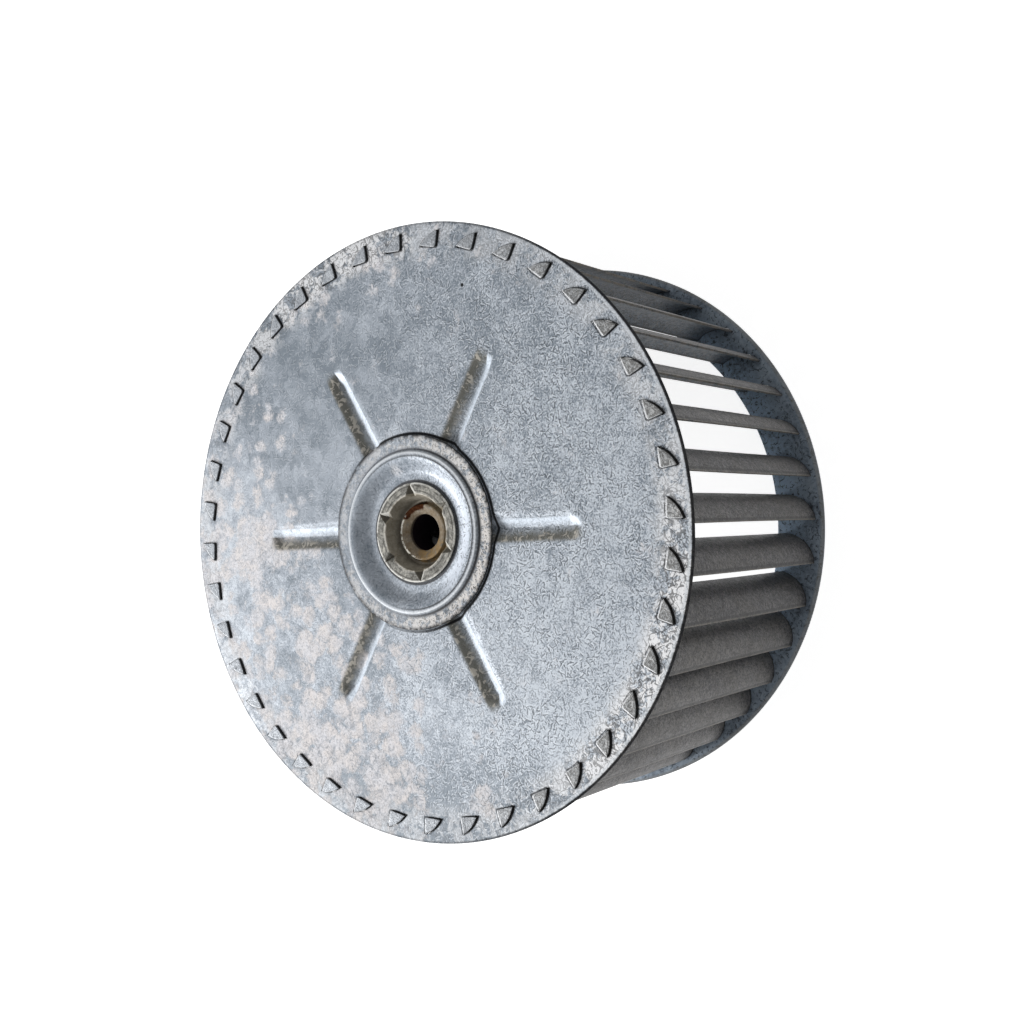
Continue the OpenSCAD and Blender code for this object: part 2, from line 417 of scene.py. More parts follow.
def nearest_spoke(angle, first, spokes):
    """The angle of the nearest of evenly spaced spokes"""
    pitch = math.tau / spokes
    return first + np.round((angle - first) / pitch) * pitch


def away_from_key(across, angle):
    """For grooves at an angle, above 0 on the side turned away from the key lamp, else below"""
    return np.sign(across) * (0.53 * np.sin(angle) + 0.85 * np.cos(angle))


def rounded(corners, radii):
    """A closed outline with an arc of its own radius at each corner"""
    steps, side_share = 4, 0.45
    outline = []
    for k, corner in enumerate(corners):
        here = np.array(corner)
        before = np.array(corners[k - 1]) - here
        after = np.array(corners[(k + 1) % len(corners)]) - here
        to_before, to_after = np.linalg.norm(before), np.linalg.norm(after)
        before, after = before / to_before, after / to_after
        half = math.acos(np.clip(before @ after, -1, 1)) / 2
        room = side_share * min(to_before, to_after)
        reach = min(radii[k] / max(math.tan(half), 1e-6), room)
        if radii[k] == 0 or reach < 1e-6:
            outline.append(here)
            continue
        radius = reach * math.tan(half)
        toward = (before + after) / np.linalg.norm(before + after)
        middle = here + toward * radius / math.sin(half)
        start, end = here + before * reach - middle, here + after * reach - middle
        spread = math.pi - 2 * half
        for s in range(steps + 1):
            a = math.sin((1 - s / steps) * spread) / math.sin(spread)
            b = math.sin(s / steps * spread) / math.sin(spread)
            outline.append(middle + a * start + b * end)
    return outline


def resampled(outline, step, where=None):
    """A closed outline with points no further apart than step, all round or where marked"""
    dense = []
    for k, here in enumerate(outline):
        way = np.array(outline[(k + 1) % len(outline)]) - here
        parts = max(1, math.ceil(np.linalg.norm(way) / step)) if where is None or where[k] else 1
        dense.extend(np.array(here) + way * p / parts for p in range(parts))
    return dense


def revolved(name, outline, segments, shift=None, sharp=35):
    """A closed ring: an outline of radius and height, turned about the axis"""
    outline = np.array(outline)
    n = len(outline)
    radius = np.tile(outline[:, 0], segments)
    height = np.tile(outline[:, 1], segments)
    angle = np.repeat(np.linspace(0, math.tau, segments, endpoint=False), n)
    if shift:
        radius, height = shift(radius, height, angle)
    points = np.stack([radius * np.cos(angle), radius * np.sin(angle), height], 1)
    faces = []
    for s in range(segments):
        here, there = s * n, (s + 1) % segments * n
        for k in range(n):
            m = (k + 1) % n
            faces.append((here + k, there + k, there + m, here + m))
    mesh = bpy.data.meshes.new(name)
    mesh.from_pydata(points.tolist(), [], faces)
    shape = opened(mesh)
    bmesh.ops.remove_doubles(shape, verts=shape.verts, dist=1e-6)
    bmesh.ops.recalc_face_normals(shape, faces=shape.faces)
    return smoothed(stored(shape, mesh), sharp)


def blade_frame():
    """Distance of a blade's arc centre from the axis"""
    wheel, blade = sizes("wheel"), sizes("blade")
    tip_r = wheel.radius - blade.tip_inset
    side = blade.roll * math.sin(blade.tip)
    return math.sqrt(tip_r**2 - side**2) - blade.roll * math.cos(blade.tip)


def slot_outlines(gap):
    """The outline of every slot, as lists of flat points, with a gap outside its tab"""
    blade = sizes("blade")
    centre = blade_frame()
    inner = blade.roll - blade.sheet / 2 - SLOT_SLACK
    outer = blade.roll + blade.sheet / 2 + gap
    play = gap / blade.roll
    arc = np.linspace(blade.tab_start - play, blade.tab_end + play, 9)
    ring = [(outer, a) for a in arc] + [(inner, a) for a in arc[::-1]]
    flat = [(centre + r * math.cos(a), r * math.sin(a)) for r, a in ring]
    turns = [blade.first + i * math.tau / blade.blades for i in range(blade.blades)]
    return [[rotated(x, y, t) for x, y in flat] for t in turns]


def in_slots(x, y, gap, margin=0.0):
    """Whether flat points lie in a slot, or within a margin of one"""
    blade = sizes("blade")
    pitch = math.tau / blade.blades
    angle = np.arctan2(y, x) - blade.first
    radius = np.hypot(x, y)
    play = (gap + margin) / blade.roll
    inside = np.zeros(x.shape, bool)
    for k in (-1, 0, 1):
        local = angle - (np.floor(angle / pitch) + k) * pitch
        u, v = radius * np.cos(local) - blade_frame(), radius * np.sin(local)
        r, a = np.hypot(u, v), np.arctan2(v, u)
        inside |= (
            (r > blade.roll - blade.sheet / 2 - SLOT_SLACK - margin)
            & (r < blade.roll + blade.sheet / 2 + gap + margin)
            & (a > blade.tab_start - play)
            & (a < blade.tab_end + play)
        )
    return inside


def slotted_disc(name, inner, outer, grid, height, gap, extra=None):
    """The upper side of a flat ring of sheet with all slots, lifted by a height function"""
    rim_steps, least_steps = 360, 24
    loops = [
        [(r * math.cos(a), r * math.sin(a)) for a in np.linspace(0, math.tau, n, endpoint=False)]
        for r, n in ((inner, rim_steps // 2), (outer, rim_steps))
    ] + slot_outlines(gap)
    points, edges = [], []
    for loop in loops:
        start = len(points)
        points.extend(loop)
        edges.extend((start + k, start + (k + 1) % len(loop)) for k in range(len(loop)))
    rings = max(2, round((outer - inner) / grid))
    scatter = []
    for k in range(1, rings):
        r = inner + (outer - inner) * k / rings
        steps = max(least_steps, round(math.tau * r / grid))
        a = np.linspace(0, math.tau, steps, endpoint=False) + (k % 2) * math.pi / steps
        scatter.append(np.stack([r * np.cos(a), r * np.sin(a)], 1))
    scatter = np.concatenate(scatter)
    if extra is not None:
        own, near = extra
        scatter = np.concatenate([scatter[~near(*scatter.T)], own])
        radius = np.hypot(*scatter.T)
        scatter = scatter[(radius > inner + RIM_CLEAR) & (radius < outer - RIM_CLEAR)]
    scatter = scatter[~in_slots(*scatter.T, gap, SLOT_CLEAR)]
    points.extend(map(tuple, scatter))
    flat, _, faces, *_ = delaunay_2d_cdt([Vector(p) for p in points], edges, [], 0, 1e-7, False)
    xy = np.array([tuple(v) for v in flat])
    faces = np.array(faces)
    middle = xy[faces].mean(1).T
    keep = (np.hypot(*middle) > inner * math.cos(math.tau / rim_steps)) & ~in_slots(*middle, gap)
    mesh = bpy.data.meshes.new(name)
    mesh.from_pydata(np.column_stack([xy, height(*xy.T)]).tolist(), [], faces[keep].tolist())
    shape = opened(mesh)
    bmesh.ops.delete(shape, geom=[v for v in shape.verts if not v.link_faces], context="VERTS")
    for face in shape.faces:
        if face.normal.z < 0:
            face.normal_flip()
    return stored(shape, mesh)


def thickened(name, mesh, sheet, bevel):
    """The upper side of a sheet given its thickness downwards and small rounded edges"""
    piece = linked(name, mesh)
    wall = piece.modifiers.new("Sheet", "SOLIDIFY")
    wall.thickness = sheet
    wall.offset = -1
    edge = piece.modifiers.new("Edge", "BEVEL")
    edge.width = bevel
    edge.segments = 2
    edge.limit_method = "ANGLE"
    edge.angle_limit = math.radians(65)
    return smoothed(baked(piece), 50)


def rib_places(x, y):
    """For flat points, the distance along and across the nearest rib"""
    plate = sizes("back_plate")
    angle, radius = np.arctan2(y, x), np.hypot(x, y)
    local = angle - nearest_spoke(angle, plate.rib_turn, plate.rib_count)
    return radius * np.cos(local), radius * np.sin(local)


def rib_sink(x, y):
    """Depth of the pressed ribs below the flat of the back plate"""
    plate = sizes("back_plate")
    along, across = rib_places(x, y)
    start = plate.rib_in + plate.rib_depth
    stop = plate.rib_out - plate.rib_run_out
    fall = (plate.rib_depth - plate.rib_depth_end) / (stop - start)
    keel = np.minimum(plate.rib_depth - fall * (along - start), along - plate.rib_in)
    run_out = (plate.rib_out - along) * plate.rib_depth_end / plate.rib_run_out
    wall = (np.sqrt(across**2 + plate.rib_crease**2) - plate.rib_crease) / plate.rib_flare
    deep = np.minimum(keel, run_out) - wall
    shoulder = plate.rib_shoulder
    sink = (deep + np.sqrt(deep**2 + shoulder**2)) / 2 - shoulder / 8 - RIB_TRIM
    return np.where(np.abs(across) < RIB_REACH, np.maximum(sink, 0), 0)


def rib_points():
    """Close points along every rib, and a test for the places that they cover"""
    plate = sizes("back_plate")
    before, beyond, spacing = 2 * MM, 4 * MM, 1.1 * MM
    along = np.arange(plate.rib_in - before, plate.rib_out + beyond, spacing)
    across = np.arange(-8, 8.1, 0.5) * MM
    s, t = [g.ravel() for g in np.meshgrid(along, across)]
    turns = [plate.rib_turn + k * math.tau / plate.rib_count for k in range(plate.rib_count)]
    own = np.concatenate([np.stack(rotated(s, t, a), 1) for a in turns])

    def near(x, y):
        u, v = rib_places(x, y)
        return (u > along[0] - 1 * MM) & (u < along[-1] + 1 * MM) & (np.abs(v) < RIB_REACH)

    return own, near


def give(tree, socket, value):
    """Links a socket or sets its value"""
    if isinstance(value, bpy.types.NodeSocket):
        tree.links.new(value, socket)
    elif socket.type == "RGBA":
        socket.default_value = (*tuple(value)[:3], 1)
    else:
        socket.default_value = value


def add_node(tree, kind, *inputs, **settings):
    """A new node with its settings, and its inputs as pairs of a socket and its value"""
    node = tree.nodes.new(kind)
    for key, value in settings.items():
        setattr(node, key, value)
    for socket, value in inputs:
        give(tree, node.inputs[socket], value)
    return node


class Finish:
    """A material's nodes, with one short call for each kind that the finishes use"""

    def __init__(self, name):
        self.material = bpy.data.materials.new(name)
        self.material.use_nodes = True
        self.tree = self.material.node_tree
        place = self.node("ShaderNodeTexCoord").outputs["Object"]
        self.mm = self.vector("SCALE", place, scale=1 / MM)

    def node(self, kind, *inputs, **settings):
        """A node of any kind"""
        return add_node(self.tree, kind, *inputs, **settings)

    def vector(self, operation, a, b=None, scale=None):
        """One step of vector arithmetic"""
        given = [pair for pair in ((0, a), (1, b), ("Scale", scale)) if pair[1] is not None]
        return self.node("ShaderNodeVectorMath", *given, operation=operation).outputs[0]

    def math(self, operation, *values, clamp=False):
        """One step of arithmetic"""
        given = enumerate(values)
        return self.node("ShaderNodeMath", *given, operation=operation, use_clamp=clamp).outputs[0]

    def product(self, *values):
        """All values multiplied"""
        return reduce(lambda a, b: self.math("MULTIPLY", a, b), values)

    def most(self, *values):
        """The greatest of the values"""
        return reduce(lambda a, b: self.math("MAXIMUM", a, b), values)

    def less(self, a, b):
        """The first value less the second"""
        return self.math("SUBTRACT", a, b)

    def apart(self, a, b):
        """How far two values are apart"""
        return self.math("ABSOLUTE", self.less(a, b))

    def total(self, start, *parts):
        """A start value plus each value's distance from a half, times its weight"""
        for value, weight in parts:
            start = self.math("ADD", start, self.product(self.less(value, 0.5), weight))
        return start

    def span(self, value, low, high, to_low=0.0, to_high=1.0):
        """A value eased from one range into another"""
        return self.node(
            "ShaderNodeMapRange", ("Value", value), ("From Min", low), ("From Max", high),
            ("To Min", to_low), ("To Max", to_high), interpolation_type="SMOOTHSTEP",
        ).outputs[0]

    def noise(self, size, detail=2.0, rough=0.5, swirl=0.0, at=None):
        """Clouds from 0 to 1, about size millimetres across"""
        return self.node(
            "ShaderNodeTexNoise", ("Vector", at or self.mm), ("Scale", 1 / size),
            ("Detail", detail), ("Roughness", rough), ("Distortion", swirl),
        ).outputs["Fac"]

    def patches(self, cloud, *limits):
        """Clouds, given as noise takes them, eased between two levels"""
        return self.span(self.noise(*cloud), *limits)

    def warped(self, size, reach):
        """Places pushed about by up to reach millimetres"""
        cloud = self.node(
            "ShaderNodeTexNoise", ("Vector", self.mm), ("Scale", 1 / size), ("Detail", 2)
        )
        centred = self.vector("SUBTRACT", cloud.outputs["Color"], (0.5, 0.5, 0.5))
        return self.vector("ADD", self.mm, self.vector("SCALE", centred, scale=2 * reach))

    def chance(self, cell):
        """The three random values of a cell"""
        return self.node("ShaderNodeSeparateColor", (0, cell.outputs["Color"])).outputs

    def cells(self, size, at):
        """Crystal cells about size millimetres across: their distance and a random value"""
        cell = self.node("ShaderNodeTexVoronoi", ("Vector", at), ("Scale", 1 / size))
        return cell.outputs["Distance"], self.chance(cell)[0]

    def mix(self, share, a, b, blend="MIX"):
        """Two colours mixed"""
        return self.node(
            "ShaderNodeMix", (0, share), (6, a), (7, b), data_type="RGBA", blend_type=blend
        ).outputs[2]

    def coats(self, base, *layers):
        """A colour with others laid over it, each by the product of its shares"""
        for tone, *shares in layers:
            base = self.mix(self.product(*shares), base, tone)
        return base

    def ramp(self, value, *stops):
        """Colours along a value"""
        node = self.node("ShaderNodeValToRGB", (0, value))
        elements = node.color_ramp.elements
        while len(elements) < len(stops):
            elements.new(0.5)
        for element, (place, shade) in zip(elements, stops):
            element.position = place
            element.color = (*tuple(shade)[:3], 1)
        return node.outputs[0]

    def own(self, name):
        """A value stored on the mesh"""
        return self.node("ShaderNodeAttribute", attribute_name=name).outputs["Fac"]

    def place(self, at=None):
        """The three coordinates of a place in millimetres"""
        return tuple(self.node("ShaderNodeSeparateXYZ", (0, at or self.mm)).outputs)

    def far(self, x, y):
        """The length of a flat step"""
        return self.math("SQRT", self.math("ADD", self.product(x, x), self.product(y, y)))

    def spot(self, middle_x, middle_y, radius, soft):
        """1 on a small round spot on the flat sheet"""
        x, y, _ = self.place()
        off = self.far(self.less(x, middle_x), self.less(y, middle_y))
        return self.span(off, radius - soft, radius + soft, 1, 0)

    def ring(self, radius, width, soft):
        """1 on a thin ring about the axis, in millimetres"""
        x, y, _ = self.place()
        return self.span(self.apart(self.far(x, y), radius), width / 2, width / 2 + soft, 1, 0)

    def cut_edge(self, steep=0.8):
        """1 on the upright cut edges of flat sheet, 0 on its faces"""
        normal = self.node("ShaderNodeNewGeometry").outputs["True Normal"]
        return self.span(self.math("ABSOLUTE", self.place(normal)[2]), steep - 0.2, steep, 1, 0)

    def blade_place(self, step_x=0.0, step_y=0.0):
        """A place, moved by a step, measured from the centre of the nearest blade's arc"""
        blade = sizes("blade")
        x, y, _ = self.place(self.vector("ADD", self.mm, (step_x, step_y, 0)))
        turned = self.less(self.math("ARCTAN2", y, x), blade.first)
        local = self.math("FLOORED_MODULO", turned, math.tau / blade.blades)
        radius = self.far(x, y)
        u = self.less(self.product(radius, self.math("COSINE", local)), blade_frame() / MM)
        return u, self.product(radius, self.math("SINE", local))

    def tab_depth(self, step_x=0.0, step_y=0.0):
        """How deep a place, moved by a step, lies inside the outline of the nearest tab"""
        blade = sizes("blade")
        u, v = self.blade_place(step_x, step_y)
        arc = self.less((blade.roll + blade.sheet / 2) / MM, self.far(u, v))
        end = self.less(u, blade.roll * math.cos(blade.tab_end) / MM)
        start = self.less(v, blade.roll * math.sin(blade.tab_start) / MM)
        corner_round = 0.8
        return self.math("MINIMUM", arc, self.math("SMOOTH_MIN", end, start, corner_round))

    def strokes(self, size, long, wide, share, seed=0.0):
        """Short curled strokes, one to a cell and each turned its own way, and lines beside them"""
        at = self.vector("ADD", self.warped(1.3, 0.55), (seed, seed, 0))
        cell = self.node(
            "ShaderNodeTexVoronoi", ("Vector", at), ("Scale", 1 / size), voronoi_dimensions="2D"
        )
        spin, pick, stretch = self.chance(cell)
        off = self.vector("SUBTRACT", at, cell.outputs["Position"])
        turned = self.node(
            "ShaderNodeVectorRotate", ("Vector", off), ("Angle", self.product(spin, math.tau)),
            rotation_type="Z_AXIS",
        ).outputs[0]
        along, across, _ = self.place(turned)
        reach = self.product(self.math("ADD", stretch, 0.4), long / 2)
        kept = self.math("GREATER_THAN", pick, 1 - share)
        over = self.less(self.math("ABSOLUTE", along), reach)
        inside = self.product(self.span(over, -0.15, 0.15, 1, 0), kept)
        middle, beside = self.math("ABSOLUTE", across), self.apart(across, wide * 1.15)
        return tuple(
            self.product(self.span(off, wide * 0.3, wide * 0.65, 1, 0), inside)
            for off in (middle, beside)
        )

    def squiggles(self, size, share, width=0.05, seed=0.0):
        """Short curled marks: thin level lines of a smooth cloud, broken by another cloud"""
        shifted = self.vector("ADD", self.mm, (seed, seed, seed))
        line = self.apart(self.noise(size, 0.6, 0.5, 0.9, shifted), 0.5)
        other = self.noise(size * 0.8, 1, 0.5, 0, self.vector("ADD", shifted, (31, 7, 0)))
        broken = self.span(other, 1 - share - 0.03, 1 - share + 0.03)
        return self.product(self.span(line, width * 0.5, width, 1, 0), broken)

    def finish(self, base, rough, metal, shine, bumps, depth):
        """Links the surface and returns the material; depth in millimetres is that of the bumps"""
        bump = self.node(
            "ShaderNodeBump", ("Distance", depth * MM), ("Strength", 1), ("Height", bumps)
        )
        for socket, value in (
            ("Base Color", base), ("Roughness", rough), ("Metallic", metal),
            ("Specular IOR Level", shine), ("Normal", bump.outputs[0]),
        ):
            give(self.tree, self.tree.nodes["Principled BSDF"].inputs[socket], value)
        return self.material


def zinc_tone(f, cloud, flake, start):
    """A tone from 0 to 1 for a zinc coating with clouds, flakes and grain"""
    return f.total(
        start,
        (f.noise(45, 3, 0.55), cloud * 1.6),
        (f.noise(12, 4, 0.6, 0.8), cloud * 1.3),
        (f.cells(8, f.warped(7, 5))[1], flake * 0.45),
        (f.cells(4, f.warped(3.5, 2.2))[1], flake * 0.6),
        (f.noise(1.3, 3, 0.65), 0.3),
    )


def zinc_plate_finish():
    """The back plate: flaked zinc with fine strokes and white rust, olive dirt with painted shade
    on the rib walls turned from the key lamp, and a painted highlight on the walls turned to it
    """
    look = sizes("finish")
    f = Finish("zinc_plate")
    x, y, _ = f.place()
    stained, mottle, soiled = f.own("oxide"), f.own("mottle"), f.own("grime")
    # flakes and grain, crisper towards the front
    crisp = f.span(y, -70, 55, 1, 0.10)
    grain = f.total(0.5, (f.noise(0.6, 1.5, 0.7), 1.1), (f.noise(1.05, 2, 0.6, 1.2), 0.65))
    tone = f.total(
        zinc_tone(f, 0.5, 0.55, 0.195),
        (grain, f.total(2.3, (crisp, 3.0), (stained, 1.8))),
        (f.noise(3.6, 3, 0.6, 1.2), f.total(1.5, (crisp, 0.5), (stained, 2.0))),
        # painted light and shade: the tone darkens towards +x; the next terms darken the far -x
        # edge, lighten towards -y and shift two regions
        (f.span(x, -40, 70), -0.30),
        (f.span(x, -92, -62), 0.70),
        (f.span(y, -70, -10), -0.22),
        (f.product(f.span(y, 0, 30), f.span(x, -20, 10, 1, 0)), -0.25),
        (f.product(f.span(y, 40, 90), f.span(x, 5, 45, 1, 0)), 0.25),
    )
    base = f.ramp(tone, (0.02, look.zinc_dark), (0.5, look.zinc), (1.0, look.zinc_light))
    # white rust in puffs
    puffs, _ = f.cells(6.5, f.warped(4.5, 2.4))
    left = f.product(f.span(y, 45, 80), f.span(x, -30, 0), f.span(x, 40, 70, 1, 0), 0.32)
    clumps = f.total(
        f.math("ADD", stained, left),
        (f.noise(14, 3, 0.55, 0.5), 1.2),
        (f.span(puffs, 0.2, 0.85, 1, 0), 0.7),
        (f.noise(2.0, 4, 0.68, 0.9), 1.2),
    )
    oxide = f.span(clumps, 0.38, 0.90)
    pale = f.mix(f.patches((7, 3, 0.6), 0.36, 0.64), look.oxide, Tone.powder)
    pale = f.mix(f.patches((1.5, 3, 0.7, 1.8), 0.36, 0.58, 0.6, 0), pale, Tone.powder_grey)
    thin = f.patches((2.8, 3, 0.65, 1.4), 0.32, 0.54, 0.45, 0.98)
    # fine strokes, each with a pale line beside it
    short, short_side = f.strokes(1.25, 1.25, 0.34, 0.62)
    long, long_side = f.strokes(2.3, 2.2, 0.36, 0.5, 13)
    marks = f.most(short, long)
    dense = f.patches((13, 2, 0.5), 0.36, 0.58, 0.6, 1)
    inked = f.product(f.span(y, -60, 50, 1, 0.35), f.span(oxide, 0.2, 0.9, 1, 0.6), dense)
    # chalk and pits round the rim; a painted highlight on the rib walls turned to the key lamp, and
    # olive dirt with painted shade on the walls turned away
    chalky = f.total(0.5, (f.noise(3.6, 3, 0.65, 1.0), 1.8), (f.noise(9, 2, 0.5), 1.5))
    pits = f.most(f.patches((0.9, 3, 0.7, 0.8), 0.56, 0.62), f.squiggles(2.4, 0.62, 0.06, 17))
    clean = f.span(f.total(f.own("clean"), (f.noise(1.5, 3, 0.6), 0.5)), 0.15, 0.75)
    grime = f.span(f.total(soiled, (f.noise(1.8, 3, 0.65), 0.4)), 0.05, 0.85)
    flecks = f.product(f.patches((2.4, 3, 0.6, 0.8), 0.52, 0.57), f.span(soiled, 0.35, 0.75))
    rim_r, rim_light_r, seam_r = 106, 104.7, 34.05
    base = f.coats(
        base,
        (pale, oxide, thin),
        (Tone.stroke_light, f.most(short_side, long_side), inked, 0.6),
        (Tone.stroke_dark, marks, inked, 0.8),
        (Tone.chalk, mottle, f.span(chalky, 0.36, 0.58), 0.9),
        (Tone.pit, mottle, pits, 0.8),
        # painted highlight on the rib walls turned to the key lamp
        (Tone.rubbed_zinc, clean, 0.9),
        (Tone.rubbed_streak, clean, f.patches((0.8, 2, 0.6), 0.53, 0.62), 0.55),
        # olive dirt and painted shade on the rib walls turned away from the key lamp
        (look.grime, grime, 0.88),
        (Tone.dry_fleck, flecks, 0.7),
        # painted shade along the keel of each rib
        (Tone.crease, f.own("keel"), 0.75),
        # painted highlight just inside the rim, on the -y side
        (Tone.rim_light, f.ring(rim_light_r, 0.5, 0.4), f.span(y, -80, -20, 0.55, 0)),
    )
    # dark lines, mostly painted shadow: the cut edges, the rim on the -y side, offset outlines
    # beside and round the tabs, a seam round the hub plate, and a dark spot for a small drilled
    # hole
    behind = f.span(f.math("ABSOLUTE", f.tab_depth(0, -0.74)), 0.08, 0.3, 0.8, 0)
    black = f.most(
        f.cut_edge(),
        f.product(f.ring(rim_r, 1.0, 0.35), f.span(y, -70, 0, 1, 0.35)),
        f.span(f.tab_depth(-0.12, 0.5), -0.3, 0.1),
        f.span(f.tab_depth(), -0.42, -0.05, 0, 0.8),
        f.product(behind, f.span(y, -60, 60, 1, 0.75), f.patches((3.0, 2, 0.5), 0.35, 0.5)),
        f.product(f.ring(seam_r, 0.5, 0.5), f.most(f.span(y, -15, 12, 1, 0.35), f.span(x, 12, 30))),
        f.spot(82.7, -21.7, 0.65, 0.2),
    )
    dull = f.most(oxide, grime, black)
    bumps = f.total(
        0.5,
        (f.noise(2.6, 4, 0.6), 0.6),
        (marks, -0.08),
        (oxide, 0.4),
        (flecks, 0.8),
        (pits, f.product(mottle, -0.3)),
    )
    return f.finish(
        base=f.coats(base, (Tone.shadow, black, 0.96)),
        rough=f.total(0.62, (f.noise(5, 3, 0.6), 0.2), (dull, 0.25)),
        metal=f.math("SUBTRACT", 0.10, f.product(dull, 0.10), clamp=True),
        shine=f.less(0.34, f.product(dull, 0.30)),
        bumps=bumps,
        depth=0.12,
    )


def hub_plate_finish():
    """The hub plate: smoother pressed zinc with a painted highlight on one side of the dish,
    painted shade and highlights at the step, and a chalky flange
    """
    look, plate = sizes("finish"), sizes("hub_plate")
    f = Finish("zinc_hub_plate")
    x, y, _ = f.place()
    band = f.own("flange")
    crisp = f.span(y, -30, 28, 1, 0.25)
    tone = f.total(zinc_tone(f, 0.45, 0.4, 0.42), (f.noise(0.8, 1.5, 0.7), f.product(crisp, 3.2)))
    base = f.ramp(tone, (0.05, look.zinc_dark), (0.5, look.zinc), (0.95, look.zinc_light))
    sheen = f.total(f.own("sheen"), (f.noise(5, 3, 0.6, 0.6), 1.1), (f.noise(0.9, 2, 0.7), 1.6))
    marks, sides = f.strokes(1.5, 1.4, 0.32, 0.55, 5)
    patch = f.product(f.spot(21.5, 7.5, 1.6, 1.4), f.patches((1.6, 2, 0.6), 0.35, 0.55))
    chalk = f.total(0.5, (f.noise(2.3, 4, 0.75, 0.6), 2.2), (f.noise(9, 2, 0.5), 1.0))
    flecks = f.patches((0.85, 3, 0.72, 0.6), 0.545, 0.60)
    foot_r = (plate.radius - plate.flange) / MM
    top_r = (plate.radius - plate.flange - plate.step_run) / MM
    dish_r, hub_edge_r = top_r - plate.crest / MM, 17.8
    # the side away from the key lamp, where the step's painted shade and painted highlight lie
    right = f.most(f.span(y, -14, 16, 1, 0.12), f.span(x, 8, 24, 0, 0.7))
    steps = f.most(f.ring(foot_r + 0.15, 0.35, 0.3), f.ring(dish_r - 0.1, 0.3, 0.25))
    outline = f.most(f.cut_edge(0.75), f.patches((2.5, 2, 0.5), 0.3, 0.5, 0.3, 0.95))
    base = f.coats(
        base,
        # painted highlight on the side of the dish turned to the key lamp
        (Tone.slope, f.span(sheen, 0.15, 1.10), 0.85),
        (Tone.patch, patch, 0.7),
        (Tone.plate_stroke_light, sides, crisp, 0.35),
        (Tone.plate_stroke_dark, marks, f.span(y, -30, 28, 1, 0.5), 0.72),
        (Tone.flange_chalk, band, f.span(chalk, 0.30, 0.62), 0.92),
        (Tone.flange_fleck, band, flecks, 0.85),
        # painted highlight along the crest, stronger on the side toward the key lamp
        (Tone.crest, f.own("crest"), 0.75),
        # painted shade lines at the step's foot and the dish's edge, and a painted highlight inside
        # the crest, on the side away from the key lamp
        (Tone.step_dark, steps, right, 0.85),
        (Tone.step_light, f.ring(top_r - 0.3, 0.5, 0.3), right, 0.5),
        # painted shade at the step's foot, inside the dish's edge, round the hole and round the hub
        (Tone.crevice, f.most(f.own("crevice"), f.ring(hub_edge_r, 0.6, 0.35)), 0.92),
        (Tone.shadow, f.own("rim"), outline, 0.95),
    )
    return f.finish(
        base=base,
        rough=f.total(0.60, (f.noise(4, 3, 0.6), 0.2), (band, 0.25)),
        metal=f.less(0.12, f.product(band, 0.12)),
        shine=f.less(0.34, f.product(band, 0.24)),
        bumps=f.total(
            0.5, (f.noise(1.8, 4, 0.65), 0.7), (marks, -0.08), (flecks, f.product(band, -0.5))
        ),
        depth=0.08,
    )


def hub_finish():
    """The hub: dull turned steel with beige film and rust round the boss; painted shade darkens the
    bore, outside the rim and at the boss, and painted highlights lie on the rim's edges and the
    stakes
    """
    look = sizes("finish")
    f = Finish("hub_steel")
    tone = f.total(0.5, (f.noise(4, 4, 0.65, 0.5), 1.7), (f.noise(0.9, 3, 0.7), 1.5))
    base = f.ramp(tone, (0.1, Tone.steel_dark), (0.5, look.hub), (0.95, Tone.steel_light))
    stake, left, deep = f.own("stake"), f.own("boss_line"), f.own("deep")
    turned = f.most(f.ring(16.15, 0.25, 0.25), f.ring(14.4, 0.2, 0.25))
    rust = f.span(f.total(f.own("rust"), (f.noise(1.6, 3, 0.6), 0.7)), 0.3, 0.6)
    rusty = f.mix(f.patches((1.2, 3, 0.6), 0.45, 0.6), look.rust, Tone.rust_light)
    dashes = f.product(left, f.ring(9.25, 0.5, 0.15), f.patches((1.1, 2, 0.5), 0.47, 0.53))
    tool_lines = f.product(turned, f.own("on_top"), f.patches((2.8, 2, 0.5), 0.38, 0.55))
    base = f.coats(
        base,
        (Tone.tool_line, tool_lines, 0.75),
        # painted highlight along the rim's edges, strongest toward the key lamp
        (Tone.worn_edge, f.own("edges"), f.patches((2.4, 2, 0.5), 0.34, 0.5), 0.9),
        # painted highlight on stake walls turned to the key lamp; painted shade on those turned
        # away and along each stake's crease
        (Tone.stake_face, f.span(stake, 0.05, 0.5), 0.75),
        (Tone.stake_keel, f.span(stake, -0.35, -0.02, 1, 0), 0.9),
        (look.film, f.own("film"), 0.6),
        (look.tan, f.own("tan"), f.patches((2.2, 3, 0.6), 0.3, 0.55)),
        (Tone.boss, f.own("boss"), f.noise(2.4, 3, 0.6), 1.1),
        (rusty, rust),
        # painted shade as a dark line at the boss's edge on the +y side, with pale dashes along it
        (Tone.boss_line, left, f.ring(9.9, 0.4, 0.2), 0.9),
        (Tone.boss_dash, dashes, 0.95),
        # painted shadow outside the rim, heaviest on the -y side, and at the boss's foot on the +y
        # side
        (Tone.groove, f.own("groove"), 0.92),
        # painted shade: near black in the bore and in the tapped hole
        (Tone.bore, deep, 0.98),
    )
    clear = f.less(1.0, f.most(deep, rust))
    return f.finish(
        base=base,
        rough=f.total(0.62, (f.noise(1.5, 3, 0.6), 0.3)),
        metal=f.product(clear, 0.15),
        shine=f.product(clear, 0.3),
        bumps=f.total(0.5, (f.noise(1.3, 4, 0.7), 1.0)),
        depth=0.10,
    )


